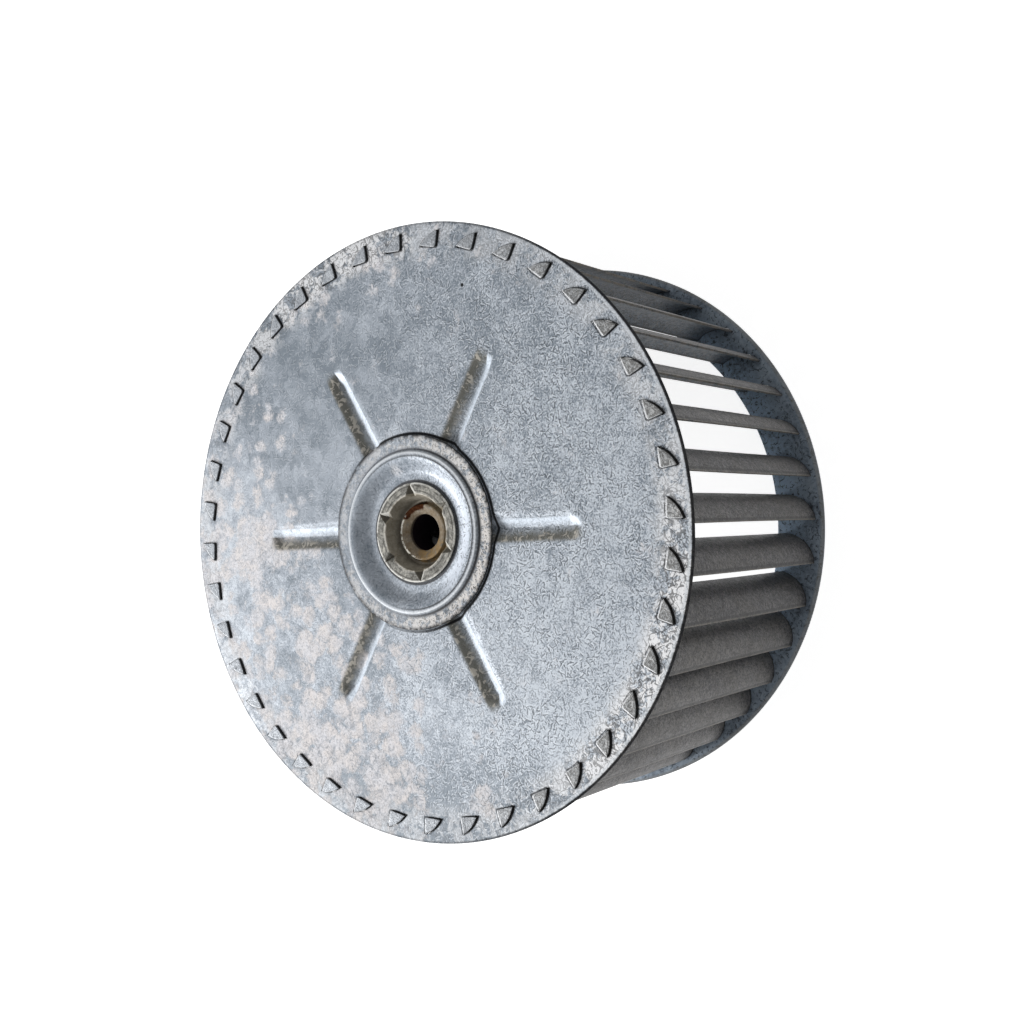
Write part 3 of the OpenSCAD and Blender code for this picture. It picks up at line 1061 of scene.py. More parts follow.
def blade_finish():
    """The blades: dull brown-grey outside, bluish inside, crushed steel on the folded tabs"""
    look, wheel, blade = sizes("finish"), sizes("wheel"), sizes("blade")
    f = Finish("blade_steel")
    x, y, z = f.place()
    upright = f.node("ShaderNodeCombineXYZ", (0, x), (1, y), (2, f.product(z, 0.25))).outputs[0]
    tone = f.total(
        0.5,
        (f.noise(14, 4, 0.6, 0.4, upright), 1.1),
        (f.noise(1.6, 4, 0.75, 0.6), 1.7),
        (f.noise(0.6, 2, 0.7), 1.7),
        (f.own("blade_seed"), 0.35),
    )
    outside = f.ramp(tone, (0.05, Tone.blade_dark), (0.5, look.blade), (0.95, Tone.blade_light))
    outside = f.mix(f.patches((17, 3, 0.6), 0.42, 0.62, 0, 0.4), outside, Tone.blade_film)
    inside = f.ramp(
        tone, (0.05, Tone.inner_dark), (0.5, look.blade_inner), (0.95, Tone.inner_light)
    )
    # painted shade: dark lines along the tip and the heel and against both plates
    u, v = f.blade_place()
    turned = f.math("ARCTAN2", v, u)
    lines = f.most(
        f.span(f.apart(turned, blade.tip + 0.075), 0.025, 0.06, 1, 0),
        f.span(turned, blade.heel - 0.10, blade.heel - 0.05),
    )
    ring_z, plate_z = wheel.ring_top / MM, (wheel.plate_top - wheel.sheet) / MM
    low = f.span(z, ring_z + 0.3, ring_z + 1.1, 1, 0)
    high = f.span(z, plate_z - 3.0, plate_z, 0, 0.8)
    # folded tabs: crushed dark on the inside, with a painted highlight along the edges turned to
    # the key lamp
    side = f.span(y, -80, 10, 1, 0)
    swirl = f.math("ADD", f.product(f.tab_depth(), 0.55), f.product(f.noise(2.0, 2, 0.6, 1.0), 3.2))
    crush = f.span(f.math("PINGPONG", swirl, 0.5), 0.14, 0.30, 1, 0)
    steel = f.ramp(
        f.total(0.5, (f.noise(1.3, 3, 0.7, 1.5), 1.7), (f.noise(6, 2, 0.5), 0.6)),
        (0.1, Tone.tab_dark), (0.5, Tone.tab_middle), (0.9, Tone.tab_light),
    )
    rubbed = f.span(f.tab_depth(-0.2, 0.42), -0.05, 0.22, 1, 0)
    steel = f.coats(
        steel,
        (f.mix(1.0, steel, look.tab, "MULTIPLY"), side, 0.9),
        (Tone.tab_crush, crush, f.total(0.45, (side, 0.6)), 0.85),
        (Tone.tab_rubbed, rubbed, f.total(0.65, (side, 0.5))),
    )
    marks = f.squiggles(1.6, 0.65, 0.08, 3)
    tab, shade = f.own("tab"), f.own("shade")
    base = f.coats(
        f.mix(f.own("outside"), inside, outside),
        (Tone.blade_scratch, marks, 0.6),
        (Tone.blade_scuff, f.squiggles(1.5, 0.6, 0.07, 41), 0.4),
        (Tone.blade_dust, f.patches((0.9, 3, 0.75, 0.6), 0.57, 0.64), 0.4),
        (Tone.blade_lip, f.own("lip"), f.patches((4, 3, 0.6), 0.3, 0.6), 0.75),
        (Tone.blade_edge, f.most(f.product(lines, 0.8), f.most(low, high)), 0.85),
        (steel, tab),
        (Tone.neck, shade, 0.97),
    )
    return f.finish(
        base=base,
        rough=f.total(0.62, (f.noise(3, 3, 0.6), 0.3), (shade, 0.3)),
        metal=f.product(0.12, f.less(1.0, shade)),
        shine=f.less(0.34, f.product(shade, 0.30)),
        bumps=f.total(
            0.5, (f.noise(1.8, 4, 0.7), 1.1), (marks, -0.4), (crush, f.product(tab, -0.5))
        ),
        depth=0.14,
    )


def ring_finish():
    """The inlet ring: dull bluish zinc, greasy and dusty, with a paler lip"""
    look = sizes("finish")
    f = Finish("zinc_ring")
    x, y, _ = f.place()
    tone = f.total(0.5, (f.noise(22, 4, 0.6, 0.5), 1.5), (f.noise(1.8, 4, 0.75), 1.4))
    base = f.ramp(tone, (0.05, Tone.ring_dark), (0.5, look.ring), (0.95, Tone.ring_light))
    marks = f.squiggles(2.0, 0.5, 0.05, 9)
    base = f.coats(
        base,
        (Tone.inlet_glint, f.span(f.far(x, y), 90, 103, 1.0, 0.1), f.span(tone, 0.0, 0.6)),
        (Tone.ring_scratch, marks, 0.7),
        (Tone.ring_edge, f.cut_edge(), 0.6),
        (Tone.ring_lip, f.ring(105.4, 0.5, 0.4), 0.5),
    )
    rough = f.total(0.62, (f.noise(4, 3, 0.6), 0.3))
    bumps = f.total(0.5, (f.noise(2, 4, 0.65), 1.0), (marks, -0.4))
    return f.finish(base, rough, metal=0.15, shine=0.35, bumps=bumps, depth=0.12)


def screw_finish():
    """The set screw: black oxide with worn edges"""
    f = Finish("black_screw")
    worn = f.patches((1.6, 4, 0.7), 0.5, 0.68)
    base = f.coats(sizes("finish").black, (Tone.screw_worn, worn, 0.5))
    rough = f.total(0.6, (worn, 0.25))
    return f.finish(base, rough, metal=0.0, shine=0.15, bumps=f.noise(0.9, 3, 0.6), depth=0.05)


class WHEEL_OT_back_plate(bpy.types.Operator):
    """Builds the back plate with its pressed ribs, slots and stains"""

    bl_idname = "wheel.back_plate"
    bl_label = "Back Plate"

    def execute(self, context):
        wheel, plate = sizes("wheel"), sizes("back_plate")
        edge_round, wave_size, seed = 0.08 * MM, 45 * MM, 1

        def height(x, y):
            free = fade(np.hypot(x, y), 40 * MM, 60 * MM)
            wave = plate.wave * free * (ripple(x, y, wave_size, seed) - 1) / 2
            return wheel.plate_top - rib_sink(x, y) + wave

        name, gap = "back_plate_skin", sizes("blade").gap
        flat = slotted_disc(name, plate.hole, wheel.radius, plate.grid, height, gap, rib_points())
        mesh = thickened(name, flat, wheel.sheet, edge_round)
        x, y, z = points_of(mesh).T
        radius, angle = np.hypot(x, y), np.arctan2(y, x)
        # stains: angle in degrees, distance from the axis and width in millimetres, strength
        stains = [
            (62, 84, 16, 0.25), (92, 76, 18, 0.4), (100, 58, 10, 0.2), (29, 97, 11, 0.75),
            (9, 93, 9, 0.6), (355, 99, 8, 0.45), (198, 93, 9, 0.75), (150, 92, 14, 0.4),
            (206, 72, 12, 0.25), (78, 98, 9, 0.3), (132, 60, 14, 0.3), (165, 70, 16, 0.3),
            (172, 95, 10, 0.35), (46, 98, 8, 0.35),
        ]
        quarter = fade(y, -6 * MM, -2 * MM) * fade(x, 20 * MM, -20 * MM)
        quarter *= fade(radius, 34 * MM, 42 * MM)
        oxide = 0.5 * quarter + sum(strong * blob(x, y, *place) for *place, strong in stains)
        degrees = np.degrees(angle) % 360
        right = mound(degrees - 248, 30) + 0.55 * mound(degrees - 20, 35)
        # rib walls turned away from the key lamp get olive dirt and painted shade; walls turned to
        # it get a painted highlight
        along, across = rib_places(x, y)
        side = np.abs(across)
        away = 1.7 * away_from_key(across, nearest_spoke(angle, plate.rib_turn, plate.rib_count))
        upper = fade(z - wheel.plate_top, -3 * MM, -0.6 * MM)
        run = fade(along, plate.rib_in, plate.rib_in + 2 * MM) * upper
        shaded = fade(along, plate.rib_out + 2 * MM, plate.rib_out - 3 * MM)
        shaded *= fade(side, 5.4 * MM, 3.6 * MM)
        lit = fade(along, plate.rib_out + 1 * MM, plate.rib_out - 1.5 * MM)
        lit *= fade(side, 3.7 * MM, 2.5 * MM)
        set_values(
            mesh,
            oxide=np.clip(oxide, 0, 1),
            mottle=fade(radius, 92 * MM, 97 * MM) * np.clip(0.3 + right, 0, 1),
            grime=run * shaded * np.clip(away, 0, 1),
            clean=run * lit * np.clip(-away, 0, 1),
            # painted shade along each rib's keel
            keel=mound(across, 0.45 * MM) * fade(rib_sink(x, y), 0, 0.6 * MM) * upper,
        )
        new_piece("back_plate_skin", mesh, ["back_plate"], zinc_plate_finish())
        return {"FINISHED"}


class WHEEL_OT_inlet_ring(bpy.types.Operator):
    """Builds the inlet ring with its slots and turned lip"""

    bl_idname = "wheel.inlet_ring"
    bl_label = "Inlet Ring"

    def execute(self, context):
        wheel, ring = sizes("wheel"), sizes("inlet_ring")
        grid, gap, edge_round = 2.6 * MM, 0.05 * MM, 0.12 * MM
        flat_r = wheel.radius - ring.bend

        def height(x, y):
            return np.full(x.shape, wheel.ring_top)

        mesh = slotted_disc("inlet_ring_skin", ring.inner, flat_r, grid, height, gap)
        shape = opened(mesh)
        rim = [
            e for e in shape.edges
            if e.is_boundary and min(v.co.xy.length for v in e.verts) > flat_r - 1e-5
        ]
        bends = [math.radians(18 * k) for k in range(1, 6)]
        lip = [
            (flat_r + ring.bend * math.sin(a), wheel.ring_top - ring.bend * (1 - math.cos(a)))
            for a in bends
        ]
        for radius, z in lip + [(wheel.radius, 0)]:
            made = bmesh.ops.extrude_edge_only(shape, edges=rim)["geom"]
            rim = [g for g in made if isinstance(g, bmesh.types.BMEdge)]
            for v in (g for g in made if isinstance(g, bmesh.types.BMVert)):
                v.co.xy = v.co.xy.normalized() * radius
                v.co.z = z
        bmesh.ops.recalc_face_normals(shape, faces=shape.faces)
        if sum(f.normal.z * f.calc_area() for f in shape.faces) < 0:
            bmesh.ops.reverse_faces(shape, faces=shape.faces)
        solid = thickened("inlet_ring_skin", stored(shape, mesh), wheel.sheet, edge_round)
        new_piece("inlet_ring_skin", solid, ["inlet_ring"], ring_finish())
        return {"FINISHED"}


class WHEEL_OT_hub_plate(bpy.types.Operator):
    """Builds the pressed hub plate"""

    bl_idname = "wheel.hub_plate"
    bl_label = "Hub Plate"

    def execute(self, context):
        s = sizes("hub_plate")
        flange_z = s.crest_top - s.step
        step_r = s.radius - s.flange
        crest_r = step_r - s.step_run
        dish_r = crest_r - s.crest
        seat_z = s.crest_top - s.drop
        seat_r = s.hole + s.seat
        dish_steps = 14
        upper = [(s.hole, seat_z)] + [
            (seat_r + (dish_r - seat_r) * t, seat_z + s.drop * (1 - math.cos(math.pi * t)) / 2)
            for t in np.linspace(0, 1, dish_steps)
        ]
        upper += [(crest_r, s.crest_top), (step_r, flange_z), (s.radius, flange_z)]
        lower = [(r, z - s.sheet) for r, z in upper[::-1]]
        lower[0] = (s.radius, lower[0][1] + s.lift)
        radii = [0.15 * MM] + [0] * dish_steps + [0.35 * MM, 0.3 * MM, 0.25 * MM]
        radii += [0.2 * MM, 0.3 * MM, 0.4 * MM] + [0] * dish_steps + [0.15 * MM]
        spacing, segments = 1.2 * MM, 240
        outline = resampled(rounded(upper + lower, radii), spacing)
        mesh = revolved("hub_plate_skin", outline, segments)
        x, y, z = points_of(mesh).T
        radius, angle = np.hypot(x, y), np.arctan2(y, x)
        right = 0.5 - 0.5 * np.sin(angle + math.radians(8))
        # painted shade at the step's foot and inside the dish's edge, heavier on the side away from
        # the key lamp, and round the hole
        foot = mound(radius - step_r - 0.1 * MM, 0.32 * MM) * (0.15 + 0.85 * right)
        inner_line = mound(radius - dish_r + 0.2 * MM, 0.25 * MM) * right * 0.75
        seam = mound(radius - s.hole - 0.75 * MM, 0.42 * MM) * (0.8 + 0.2 * right)
        top_side = z > seat_z - 0.3 * MM
        # painted highlight along the crest, stronger on the side toward the key lamp
        crest = mound(radius - crest_r, 0.4 * MM) * (0.35 + 0.65 * (1 - right))
        # painted highlight on the side of the dish turned to the key lamp
        slope = fade(radius, 18.2 * MM, 19.7 * MM) * fade(radius, 26.4 * MM, 23.4 * MM)
        strong = 0.65 + 0.35 * np.cos(angle + math.radians(105))
        set_values(
            mesh,
            flange=fade(radius, step_r, step_r + 0.8 * MM) * strong,
            rim=fade(radius, s.radius - 0.45 * MM, s.radius - 0.35 * MM),
            sheen=slope * np.clip(np.cos(angle + math.radians(86)) / 0.7, 0, 1),
            crevice=np.where(top_side, np.maximum(foot + inner_line, seam), 0),
            crest=np.where(top_side, crest, 0),
        )
        new_piece("hub_plate_skin", mesh, ["hub_plate"], hub_plate_finish())
        return {"FINISHED"}


class WHEEL_OT_hub(bpy.types.Operator):
    """Builds the turned hub with its chisel stakes"""

    bl_idname = "wheel.hub"
    bl_label = "Hub"
    SHARP = 30

    def execute(self, context):
        s = sizes("hub")
        under = s.rim_top - s.rim_h
        shoulder_z = under - sizes("hub_plate").sheet
        rim_in = s.radius - s.rim_w
        floor_r, floor_z = rim_in - s.recess_run, s.rim_top - s.recess
        boss_z = floor_z + s.boss_h
        mouth_z = boss_z - s.mouth
        step_z = shoulder_z - s.shoulder_h
        # radius, height and rounding in millimetres of each corner
        corners = [
            (s.bore, s.end, 0.4), (s.barrel, s.end, 0.5), (s.barrel, step_z, 0.3),
            (s.shoulder, step_z, 0.4), (s.shoulder, shoulder_z, 0.2),
            (s.radius, shoulder_z, 0), (s.radius, under, 0), (s.radius + s.rim_lap, under, 0.1),
            (s.radius + s.rim_lap, s.rim_top, 0.35), (rim_in, s.rim_top, 0.3),
            (floor_r, floor_z, 0.8), (s.boss, floor_z, 0.6), (s.boss, boss_z, 0.3),
            (s.boss - s.boss_flat, boss_z, 0.2), (s.bore, mouth_z, 0.15),
        ]
        outline = rounded([(r, z) for r, z, _ in corners], [c[2] * MM for c in corners])
        coarse, fine, segments = 1.4 * MM, 0.3 * MM, 360
        outline = np.array(resampled(outline, coarse))
        rim = (outline[:, 1] > floor_z + 1 * MM) & (outline[:, 0] > floor_r)

        def wedge(radius, angle):
            """The nearest stake's angle, the place along and across it and the height of its cut"""
            middle = nearest_spoke(angle, s.stake_turn, s.stakes)
            along = s.radius - radius * np.cos(angle - middle)
            across = radius * np.sin(angle - middle)
            wall = np.sqrt(across**2 + STAKE_CREASE**2) / s.stake_flare
            return middle, along, across, s.rim_top - along * s.stake_h / s.stake_l + wall

        def staked(radius, height, angle):
            _, along, _, cut = wedge(radius, angle)
            inner = (along < s.stake_l) & (along > -0.3 * MM) & (radius > floor_r - 0.2 * MM)
            inner &= height > floor_z + 0.4 * MM
            return radius, np.where(inner, np.minimum(height, cut), height)

        dense = resampled(outline, fine, rim)
        mesh = self.drilled(revolved("hub_skin", dense, segments, staked, self.SHARP))
        x, y, z = points_of(mesh).T
        radius, angle = np.hypot(x, y), np.arctan2(y, x)
        above = z > floor_z - 0.5 * MM

        def line(at, width):
            return mound(radius - at, width) * above

        def toward(middle, half):
            off = np.abs((np.degrees(angle) - middle + 180) % 360 - 180)
            return np.clip((half - off) / 12 + 0.5, 0, 1)

        # the bore's walls and the tapped hole, which take painted shade
        inside = fade(radius, s.bore + 0.12 * MM, s.bore + 0.02 * MM)
        inside *= fade(z, mouth_z + 0.2 * MM, mouth_z - 0.6 * MM)
        tapped = (radius < s.barrel - 1 * MM) & (z < floor_z - 1 * MM)
        middle, along, across, cut = wedge(radius, angle)
        on_wedge = (np.abs(z - cut) < 0.12 * MM) & (radius > floor_r - 0.3 * MM)
        on_wedge &= along > -0.3 * MM
        # stake walls turned to the key lamp get a painted highlight; walls turned away and the
        # crease get painted shade
        facing = -1.6 * away_from_key(across, middle)
        boss = (radius < s.boss + 0.8 * MM) & above
        on_top = z > s.rim_top - 0.5 * MM
        # painted highlight along the rim's outer edge, strongest toward the key lamp, and along its
        # inner edge
        edges = line(s.radius + 0.15 * MM, 0.28 * MM) * (0.4 + 0.6 * toward(100, 110))
        edges += line(rim_in + 0.15 * MM, 0.3 * MM)
        boss_top = (radius > s.boss - 2 * MM) & (radius < s.boss + 0.4 * MM)
        boss_top &= z > boss_z - 0.9 * MM
        # painted shadow at the boss's foot on the +y side, and outside the rim, heaviest on the -y
        # side
        foot = line(s.boss + 0.5 * MM, 0.6 * MM) * toward(80, 80) * (z < boss_z - 0.8 * MM)
        outer = line(s.radius + 0.5 * MM, 0.12 * MM) * (0.35 + 0.65 * toward(275, 75))
        set_values(
            mesh,
            deep=np.maximum(inside, tapped),
            stake=on_wedge * np.where(np.abs(across) < 0.25 * MM, -1.0, facing),
            rust=line(s.boss - 0.5 * MM, 1.5 * MM) * toward(27, 33),
            boss=boss,
            tan=boss * (0.3 + 0.7 * toward(205, 45)),
            film=(radius < rim_in + 0.4 * MM) & (radius > s.boss - 0.2 * MM) & above,
            edges=np.clip(edges, 0, 1) * on_top,
            on_top=on_top,
            boss_line=boss_top * toward(115, 60),
            groove=np.clip(foot + outer, 0, 1),
        )
        new_piece("hub_skin", mesh, ["hub"], hub_finish())
        return {"FINISHED"}

    @staticmethod
    def drilled(mesh):
        """The hub with the tapped hole of the set screw through its barrel"""
        low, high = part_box("set_screw")
        middle = (low + high) / 2
        reach = sizes("hub").shoulder + 5 * MM
        play = 0.05 * MM
        radius = sizes("set_screw").thread + play
        tool = bmesh.new()
        bmesh.ops.create_cone(
            tool, cap_ends=True, segments=48, radius1=radius, radius2=radius, depth=reach
        )
        lay = laid(middle) @ Matrix.Translation((0, 0, reach / 2))
        bmesh.ops.transform(tool, verts=tool.verts, matrix=lay)
        drill = linked("drill", stored(tool, bpy.data.meshes.new("drill")))
        body = linked("hub_blank", mesh)
        cut = body.modifiers.new("Tapped hole", "BOOLEAN")
        cut.object = drill
        cut.solver = "EXACT"
        solid = baked(body)
        bpy.data.objects.remove(drill)
        return smoothed(solid, WHEEL_OT_hub.SHARP)


def laid(middle):
    """Turns what stands on the origin so that it points from the axis to the side of a place"""
    turned = Matrix.Rotation(math.atan2(middle.y, middle.x), 4, "Z")
    return Matrix.Translation((0, 0, middle.z)) @ turned @ Matrix.Rotation(math.pi / 2, 4, "Y")


def blade_shape():
    """One blade with a folded tab at each end, as a closed shell in the place of the first"""
    wheel, blade = sizes("wheel"), sizes("blade")
    half = blade.sheet / 2
    low, high = wheel.ring_top, wheel.plate_top - wheel.sheet
    lip_low = wheel.ring_top - wheel.sheet
    tip_points, m, heel_points, rows, bend_steps = 3, 13, 10, 19, 4
    nose, neck_fold = 0.9 * MM, 0.45 * MM
    tab_angles = np.linspace(blade.tab_start, blade.tab_end, m)
    angles = np.concatenate([
        np.linspace(blade.tip, blade.tab_start, tip_points)[:-1],
        tab_angles,
        np.linspace(blade.tab_end, blade.heel, heel_points)[1:],
    ])
    n = len(angles)
    first, last = tip_points - 1, tip_points + m - 2
    shape = bmesh.new()

    def at(radius, angle, z):
        return shape.verts.new((radius * math.cos(angle), radius * math.sin(angle), z))

    levels = np.linspace(low, high, rows)
    outer = [[at(blade.roll + half, a, z) for a in angles] for z in levels]
    inner = [[at(blade.roll - half, a, z) for a in angles] for z in levels]
    for k in range(len(levels) - 1):
        for j in range(n - 1):
            shape.faces.new((outer[k][j], outer[k][j + 1], outer[k + 1][j + 1], outer[k + 1][j]))
            shape.faces.new((inner[k][j + 1], inner[k][j], inner[k + 1][j], inner[k + 1][j + 1]))
        for j in (0, n - 1):
            shape.faces.new((outer[k][j], inner[k][j], inner[k + 1][j], outer[k + 1][j]))

    def folded(flat, fold, way, face_z, neck):
        """Rings of points from the flat outline of a tab, rounded over to its raised face"""
        size = len(flat)
        middle = sum(flat, Vector((0, 0))) / size
        rings = [neck]
        for step in range(bend_steps + 1):
            bend = math.radians(90 * step / bend_steps)
            ring = []
            for j in range(size):
                along = (flat[(j + 1) % size] - flat[j - 1]).normalized()
                inward = Vector((-along.y, along.x))
                if inward.dot(middle - flat[j]) < 0:
                    inward = -inward
                p = flat[j] + inward * fold[j] * (1 - math.cos(bend))
                z = blade.sheet - fold[j] * (1 - math.sin(bend))
                ring.append(shape.verts.new((*p, face_z + way * z)))
            rings.append(ring)
        top = [v.co.xy.copy() for v in rings[-1]]
        for share, rise in ((0.72, 0.03), (0.42, 0.0), (0.18, -0.03)):
            z = face_z + way * (blade.sheet + rise * MM)
            rings.append([shape.verts.new((*middle.lerp(p, share), z)) for p in top])
        return rings

    def end(level, face_z, way):
        """Closes an end: caps beside the neck, the neck through its slot and the folded tab"""
        out, into = outer[level], inner[level]
        for a, b in ((0, first), (last, n - 1)):
            shape.faces.new(out[a:b + 1] + into[a:b + 1][::-1])
        neck_out = [at(blade.roll + half, a, face_z) for a in tab_angles]
        neck_in = [at(blade.roll - half, a, face_z) for a in tab_angles]
        for wall, neck in ((out, neck_out), (into, neck_in)):
            for j in range(m - 1):
                shape.faces.new((wall[first + j], wall[first + j + 1], neck[j + 1], neck[j]))
        for j, k in ((0, first), (m - 1, last)):
            shape.faces.new((out[k], into[k], neck_in[j], neck_out[j]))
        corner = Vector((
            blade.roll * math.cos(blade.tab_end), blade.roll * math.sin(blade.tab_start)
        ))
        start, stop = neck_out[0].co.xy, neck_out[-1].co.xy
        to_stop, to_start = (stop - corner).normalized(), (start - corner).normalized()
        flat = [v.co.xy.copy() for v in neck_out]
        flat += [stop.lerp(corner, t) for t in (0.25, 0.5, 0.75)]
        flat += [
            corner + to_stop * nose, corner + (to_stop + to_start) * nose * 0.3,
            corner + to_start * nose,
        ]
        flat += [corner.lerp(start, t) for t in (0.3, 0.55, 0.8)]
        loop = neck_out + [shape.verts.new((*p, face_z)) for p in flat[m:]]
        shape.faces.new([neck_out[0]] + neck_in + [neck_out[-1]] + loop[m:])
        fold = [blade.fold if j < m else blade.edge for j in range(len(loop))]
        fold[0] = fold[m - 1] = neck_fold
        rings = folded(flat, fold, way, face_z, loop)
        for here, there in zip(rings, rings[1:]):
            for j in range(len(loop)):
                k = (j + 1) % len(loop)
                shape.faces.new((here[j], here[k], there[k], there[j]))
        shape.faces.new(rings[-1])

    end(-1, wheel.plate_top, 1)
    end(0, lip_low, -1)
    bmesh.ops.recalc_face_normals(shape, faces=shape.faces)
    mesh = stored(shape, bpy.data.meshes.new("blade"))
    x, y, z = points_of(mesh).T
    radius, angle = np.hypot(x, y), np.arctan2(y, x)
    body = (z > low - 1e-5) & (z < high + 1e-5)
    rise = np.maximum(z - wheel.plate_top, lip_low - z)
    set_values(
        mesh,
        outside=radius > blade.roll,
        tab=~body,
        shade=np.where(body, 0.0, fade(rise, 0.72 * MM, 0.66 * MM)),
        lip=body & (angle < blade.tip + 0.02),
    )
    mesh.transform(Matrix.Translation((blade_frame(), 0, 0)))
    return smoothed(mesh, 38)


def row_tree():
    """A node tree that sets copies of a shape round the axis and bows each a little"""
    tree = bpy.data.node_groups.new("Blade row", "GeometryNodeTree")
    names = {}
    for name, kind in (
        ("Shape", "Geometry"), ("Copies", "Int"), ("First", "Float"), ("Bow", "Float"),
        ("Low", "Float"), ("High", "Float"), ("Seed", "Int"), ("Material", "Material"),
    ):
        socket = tree.interface.new_socket(name, in_out="INPUT", socket_type="NodeSocket" + kind)
        names[name] = socket.identifier
    tree.interface.new_socket("Shape", in_out="OUTPUT", socket_type="NodeSocketGeometry")
    given = tree.nodes.new("NodeGroupInput").outputs

    def step(kind, *inputs, **settings):
        return add_node(tree, kind, *inputs, **settings).outputs

    def calc(operation, a, b=0.0):
        return step("ShaderNodeMath", (0, a), (1, b), operation=operation)[0]

    def times(a, b):
        return calc("MULTIPLY", a, b)

    # one copy at each step round the axis, with a random value of its own
    spots = step("GeometryNodePoints", ("Count", given["Copies"]))[0]
    index = step("GeometryNodeInputIndex")[0]
    pitch = calc("DIVIDE", math.tau, given["Copies"])
    angle = calc("ADD", times(index, pitch), given["First"])
    spin = step("ShaderNodeCombineXYZ", (2, angle))[0]
    copies = step(
        "GeometryNodeInstanceOnPoints", ("Points", spots), ("Instance", given["Shape"]),
        ("Rotation", spin),
    )[0]
    chance = step(
        "FunctionNodeRandomValue", ("ID", index), ("Seed", given["Seed"]), data_type="FLOAT"
    )[1]
    marked = step(
        "GeometryNodeStoreNamedAttribute", ("Geometry", copies), ("Name", "blade_seed"),
        ("Value", chance), data_type="FLOAT", domain="INSTANCE",
    )[0]
    real = step("GeometryNodeRealizeInstances", ("Geometry", marked))[0]
    # a sideways bow, greatest halfway up
    x, y, z = step("ShaderNodeSeparateXYZ", (0, step("GeometryNodeInputPosition")[0]))
    tall = calc("SUBTRACT", given["High"], given["Low"])
    share = calc("DIVIDE", calc("SUBTRACT", z, given["Low"]), tall)
    belly = calc("SINE", times(step("ShaderNodeClamp", (0, share))[0], math.pi))
    own = step("GeometryNodeInputNamedAttribute", ("Name", "blade_seed"), data_type="FLOAT")[0]
    reach = times(times(calc("SUBTRACT", own, 0.5), given["Bow"]), times(belly, 2.0))
    sideways = step("ShaderNodeCombineXYZ", (0, times(y, -1.0)), (1, x))[0]
    unit = step("ShaderNodeVectorMath", (0, sideways), operation="NORMALIZE")[0]
    offset = step("ShaderNodeVectorMath", (0, unit), ("Scale", reach), operation="SCALE")[0]
    bowed = step("GeometryNodeSetPosition", ("Geometry", real), ("Offset", offset))[0]
    coated = step(
        "GeometryNodeSetMaterial", ("Geometry", bowed), ("Material", given["Material"])
    )[0]
    step("NodeGroupOutput", (0, coated))
    return tree, names


class WHEEL_OT_blades(bpy.types.Operator):
    """Builds the row of blades with their folded tabs"""

    bl_idname = "wheel.blades"
    bl_label = "Blades"

    def execute(self, context):
        wheel, blade = sizes("wheel"), sizes("blade")
        row = linked("blade_row", blade_shape())
        tree, names = row_tree()
        material = blade_finish()
        maker = row.modifiers.new("Blade row", "NODES")
        maker.node_group = tree
        for name, value in (
            ("Copies", blade.blades),
            ("First", blade.first),
            ("Bow", blade.bow),
            ("Low", wheel.ring_top),
            ("High", wheel.plate_top - wheel.sheet),
            ("Seed", 4),
            ("Material", material),
        ):
            maker[names[name]] = value
        nodes = [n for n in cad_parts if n.startswith("blade_")]
        new_piece("blades", baked(row), nodes, material)
        return {"FINISHED"}


class WHEEL_OT_set_screw(bpy.types.Operator):
    """Builds the square-headed set screw in the hub's barrel"""

    bl_idname = "wheel.set_screw"
    bl_label = "Set Screw"

    def execute(self, context):
        s = sizes("set_screw")
        low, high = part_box("set_screw")
        middle = (low + high) / 2
        angle = math.atan2(middle.y, middle.x)
        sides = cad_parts["set_screw"].data.vertices
        reach = [v.co.x * math.cos(angle) + v.co.y * math.sin(angle) for v in sides]
        start, stop = min(reach), max(reach)
        neck = stop - s.head_l
        neck_r, root_r = s.thread * 0.9, s.thread * 0.86
        pole, lead, clear, overlap = 0.05 * MM, 0.2 * MM, 1 * MM, 0.5 * MM
        outline = [(pole, start), (s.thread - s.point, start), (s.thread, start + s.point)]
        turns = int((neck - start - s.point - clear) / s.pitch)
        for k in range(turns):
            z = start + s.point + lead + k * s.pitch
            root = (root_r, z + s.pitch * 0.45)
            outline += [(s.thread, z), root, (s.thread, z + s.pitch * 0.9)]
        outline += [(neck_r, neck - lead), (neck_r, neck + overlap), (pole, neck + overlap)]
        mesh = revolved("set_screw_skin", outline, 48)
        shape = opened(mesh)
        across_pole = 0.11 * MM
        bmesh.ops.remove_doubles(shape, verts=shape.verts, dist=across_pole)
        edge_round = 0.4 * MM
        head = bmesh.new()
        bmesh.ops.create_cube(head, size=1)
        bmesh.ops.scale(head, vec=(s.head, s.head, s.head_l), verts=head.verts)
        bmesh.ops.bevel(
            head, geom=head.edges, offset=edge_round, segments=2, affect="EDGES", profile=0.6
        )
        bmesh.ops.translate(head, vec=(0, 0, neck + s.head_l / 2), verts=head.verts)
        shape.from_mesh(stored(head, bpy.data.meshes.new("screw_head")))
        stored(shape, mesh).transform(laid(middle))
        new_piece("set_screw_skin", smoothed(mesh, 35), ["set_screw"], screw_finish())
        return {"FINISHED"}


